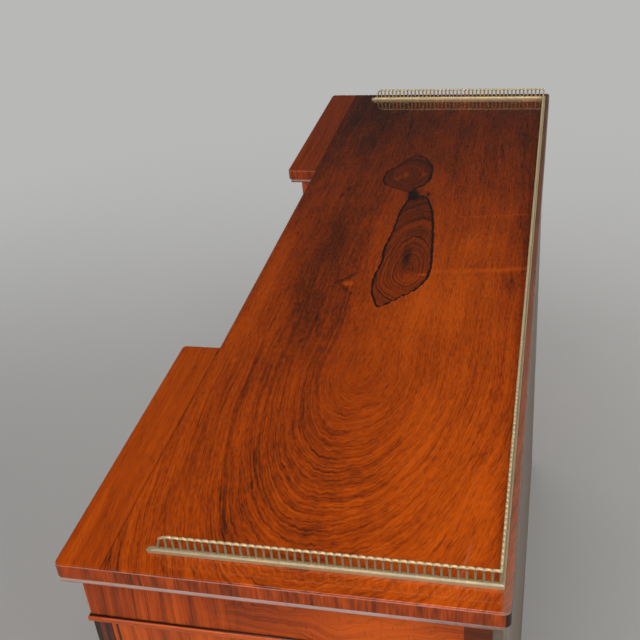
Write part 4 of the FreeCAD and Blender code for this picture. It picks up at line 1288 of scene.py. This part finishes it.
def ramped_end(foot, along, length, rise, wire):
    """The leaning half loop that leads up from the base to the first head."""
    ramp = wire_foot("ramped_end", foot, wire)
    bend = length * RAMP_BEND
    low = rise * RAMP_LOW
    lean = along * bend + UP * (low - bend)
    edit(ramp)
    extruded(lean)
    bent_over(foot + lean + along * bend, along, RAMP_STEPS)
    extruded(along * (length - 2 * bend) + UP * (rise - low))
    leave()
    closed(ramp)
    return ramp


class CHIFFONIER_OT_gallery(bpy.types.Operator):
    """Bend the gallery's wire loops and set them on the moulded bases"""

    bl_idname = "chiffonier.gallery"
    bl_label = "Gallery"

    def execute(self, context):
        sizes = context.scene.chiffonier.gallery
        wire = sizes.wire
        for where in ("left", "right", "back"):
            dress(f"gallery_base_{where}", "old_brass", METAL_ARRIS)
        low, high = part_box("gallery_arcade_back")
        back = middle_of("gallery_arcade_back").y
        foot = low.z - LOOP_SUNK
        rise = high.z - foot - wire / 2
        ends = []
        for side, _ in SIDES:
            node = f"gallery_arcade_{side}"
            line = middle_of(node).x
            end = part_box(node)[0].y
            first = end + sizes.ramp
            row = loop_row(f"{node}_loops", Vector((line, first, foot)), TO_BACK, back - first, rise, sizes)
            corner = end_post(Vector((line, back, foot)), rise - sizes.bend / 2, wire)
            start = Vector((line, end + wire / 2, foot))
            ramp = ramped_end(start, TO_BACK, sizes.ramp - wire / 2, rise, wire)
            joined(row, [corner, ramp])
            smoothed(row, 70)
            stands_for(row, node, "old_brass")
            ends.append(line)
        start = Vector((ends[0], back, foot))
        row = loop_row("gallery_arcade_back_loops", start, TO_RIGHT, ends[1] - ends[0], rise, sizes)
        smoothed(row, 70)
        stands_for(row, "gallery_arcade_back", "old_brass")
        return {"FINISHED"}


def floor_finish(stage):
    """Pale and even near the piece, and as bright as the horizon far from it, so that no line shows."""
    finish = Finish("pale_floor")
    x, y, z = finish.place()
    cloud = noise(x * 0.6, y * 0.6, z, 3.0)
    away = (x ** 2 + y ** 2).root().step(*FLOOR_FADE)
    darker = [part * 0.97 for part in stage.floor]
    shade = mix(cloud.step(0.3, 0.7), darker, stage.floor)
    shade = mix(away, shade, BLACK)
    haze = mix(away, BLACK, stage.horizon)
    return finish.done(Base_Color=shade, Roughness=0.75, Specular_IOR_Level=0.0,
                       Emission_Color=haze, Emission_Strength=1.0)


def surroundings(stage):
    """Dim light from above, and pale all round at the height of the floor."""
    air = Finish("surroundings", bpy.data.worlds)
    rise = air.node("SeparateXYZ", None, {0: air.node("TexCoord", output="Generated")}, 2)
    colour = mix(rise.step(0.21, 0.06), stage.sky, stage.horizon)
    air.node("OutputWorld", None, {"Surface": air.node("Background", None, {"Color": colour})})
    return air.owner


def soft_light(name, place, target, size, power, spread):
    """An area light that looks at a target, with its spread in degrees."""
    bpy.ops.object.light_add(type="AREA", location=place)
    light = bpy.context.active_object
    light.name = name
    light.rotation_euler = (Vector(target) - Vector(place)).to_track_quat("-Z", "Y").to_euler()
    light.data.shape = "RECTANGLE"
    light.data.size, light.data.size_y = size
    light.data.energy = power
    light.data.spread = math.radians(spread)


class CHIFFONIER_OT_stage(bpy.types.Operator):
    """Set the floor, the lights and the camera"""

    bl_idname = "chiffonier.stage"
    bl_label = "Stage"

    def execute(self, context):
        stage = context.scene.chiffonier.stage
        floor = disc("floor", FLOOR_SIDES, FLOOR_RADIUS)
        floor.data.materials.append(floor_finish(stage))

        context.scene.world = surroundings(stage)
        for name, place, target, size, kind, share, spread in LIGHTS:
            soft_light(name, place, target, size, getattr(stage, kind) * share, spread)

        sight = Vector((-math.cos(stage.pitch) * math.cos(stage.yaw),
                        -math.cos(stage.pitch) * math.sin(stage.yaw), -math.sin(stage.pitch)))
        level = sight.cross(UP).normalized()
        upright = level.cross(sight)
        right = level * math.cos(stage.roll) + upright * math.sin(stage.roll)
        above = upright * math.cos(stage.roll) - level * math.sin(stage.roll)
        bpy.ops.object.camera_add(location=stage.spot)
        camera = context.active_object
        turn = Matrix((right, above, -sight)).transposed()
        camera.rotation_euler = turn.to_euler()
        camera.data.lens = stage.lens
        camera.data.sensor_width = SENSOR_WIDTH
        context.scene.camera = camera
        context.scene.view_settings.view_transform = "Standard"
        return {"FINISHED"}


class CHIFFONIER_PT_panel(bpy.types.Panel):
    """The pieces of the chiffonier"""

    bl_idname = "CHIFFONIER_PT_panel"
    bl_label = "Chiffonier"
    bl_space_type = "VIEW_3D"
    bl_region_type = "UI"
    bl_category = "Chiffonier"

    def draw(self, context):
        for operator in OPERATORS:
            self.layout.operator(operator.bl_idname)
        chosen = context.scene.chiffonier
        for group in (chosen.veneer, chosen.metal, chosen.gallery, chosen.stage):
            column = self.layout.column()
            for name in group.bl_rna.properties.keys():
                if name not in ("rna_type", "name"):
                    column.prop(group, name)


OPERATORS = (
    CHIFFONIER_OT_top, CHIFFONIER_OT_mouldings, CHIFFONIER_OT_frieze, CHIFFONIER_OT_case,
    CHIFFONIER_OT_plinth, CHIFFONIER_OT_doors, CHIFFONIER_OT_hinges, CHIFFONIER_OT_locks,
    CHIFFONIER_OT_gallery, CHIFFONIER_OT_stage)
CLASSES = (
    VeneerSettings, MetalSettings, GallerySettings, StageSettings, ChiffonierSettings, *OPERATORS,
    CHIFFONIER_PT_panel)


def register():
    for cls in CLASSES:
        bpy.utils.register_class(cls)
    bpy.types.Scene.chiffonier = bpy.props.PointerProperty(type=ChiffonierSettings)


def unregister():
    del bpy.types.Scene.chiffonier
    for cls in reversed(CLASSES):
        bpy.utils.unregister_class(cls)


def main():
    register()
    bpy.ops.chiffonier.top()
    bpy.ops.chiffonier.mouldings()
    bpy.ops.chiffonier.frieze()
    bpy.ops.chiffonier.case()
    bpy.ops.chiffonier.plinth()
    bpy.ops.chiffonier.doors()
    bpy.ops.chiffonier.hinges()
    bpy.ops.chiffonier.locks()
    bpy.ops.chiffonier.gallery()
    bpy.ops.chiffonier.stage()


if __name__ == "__main__":
    main()
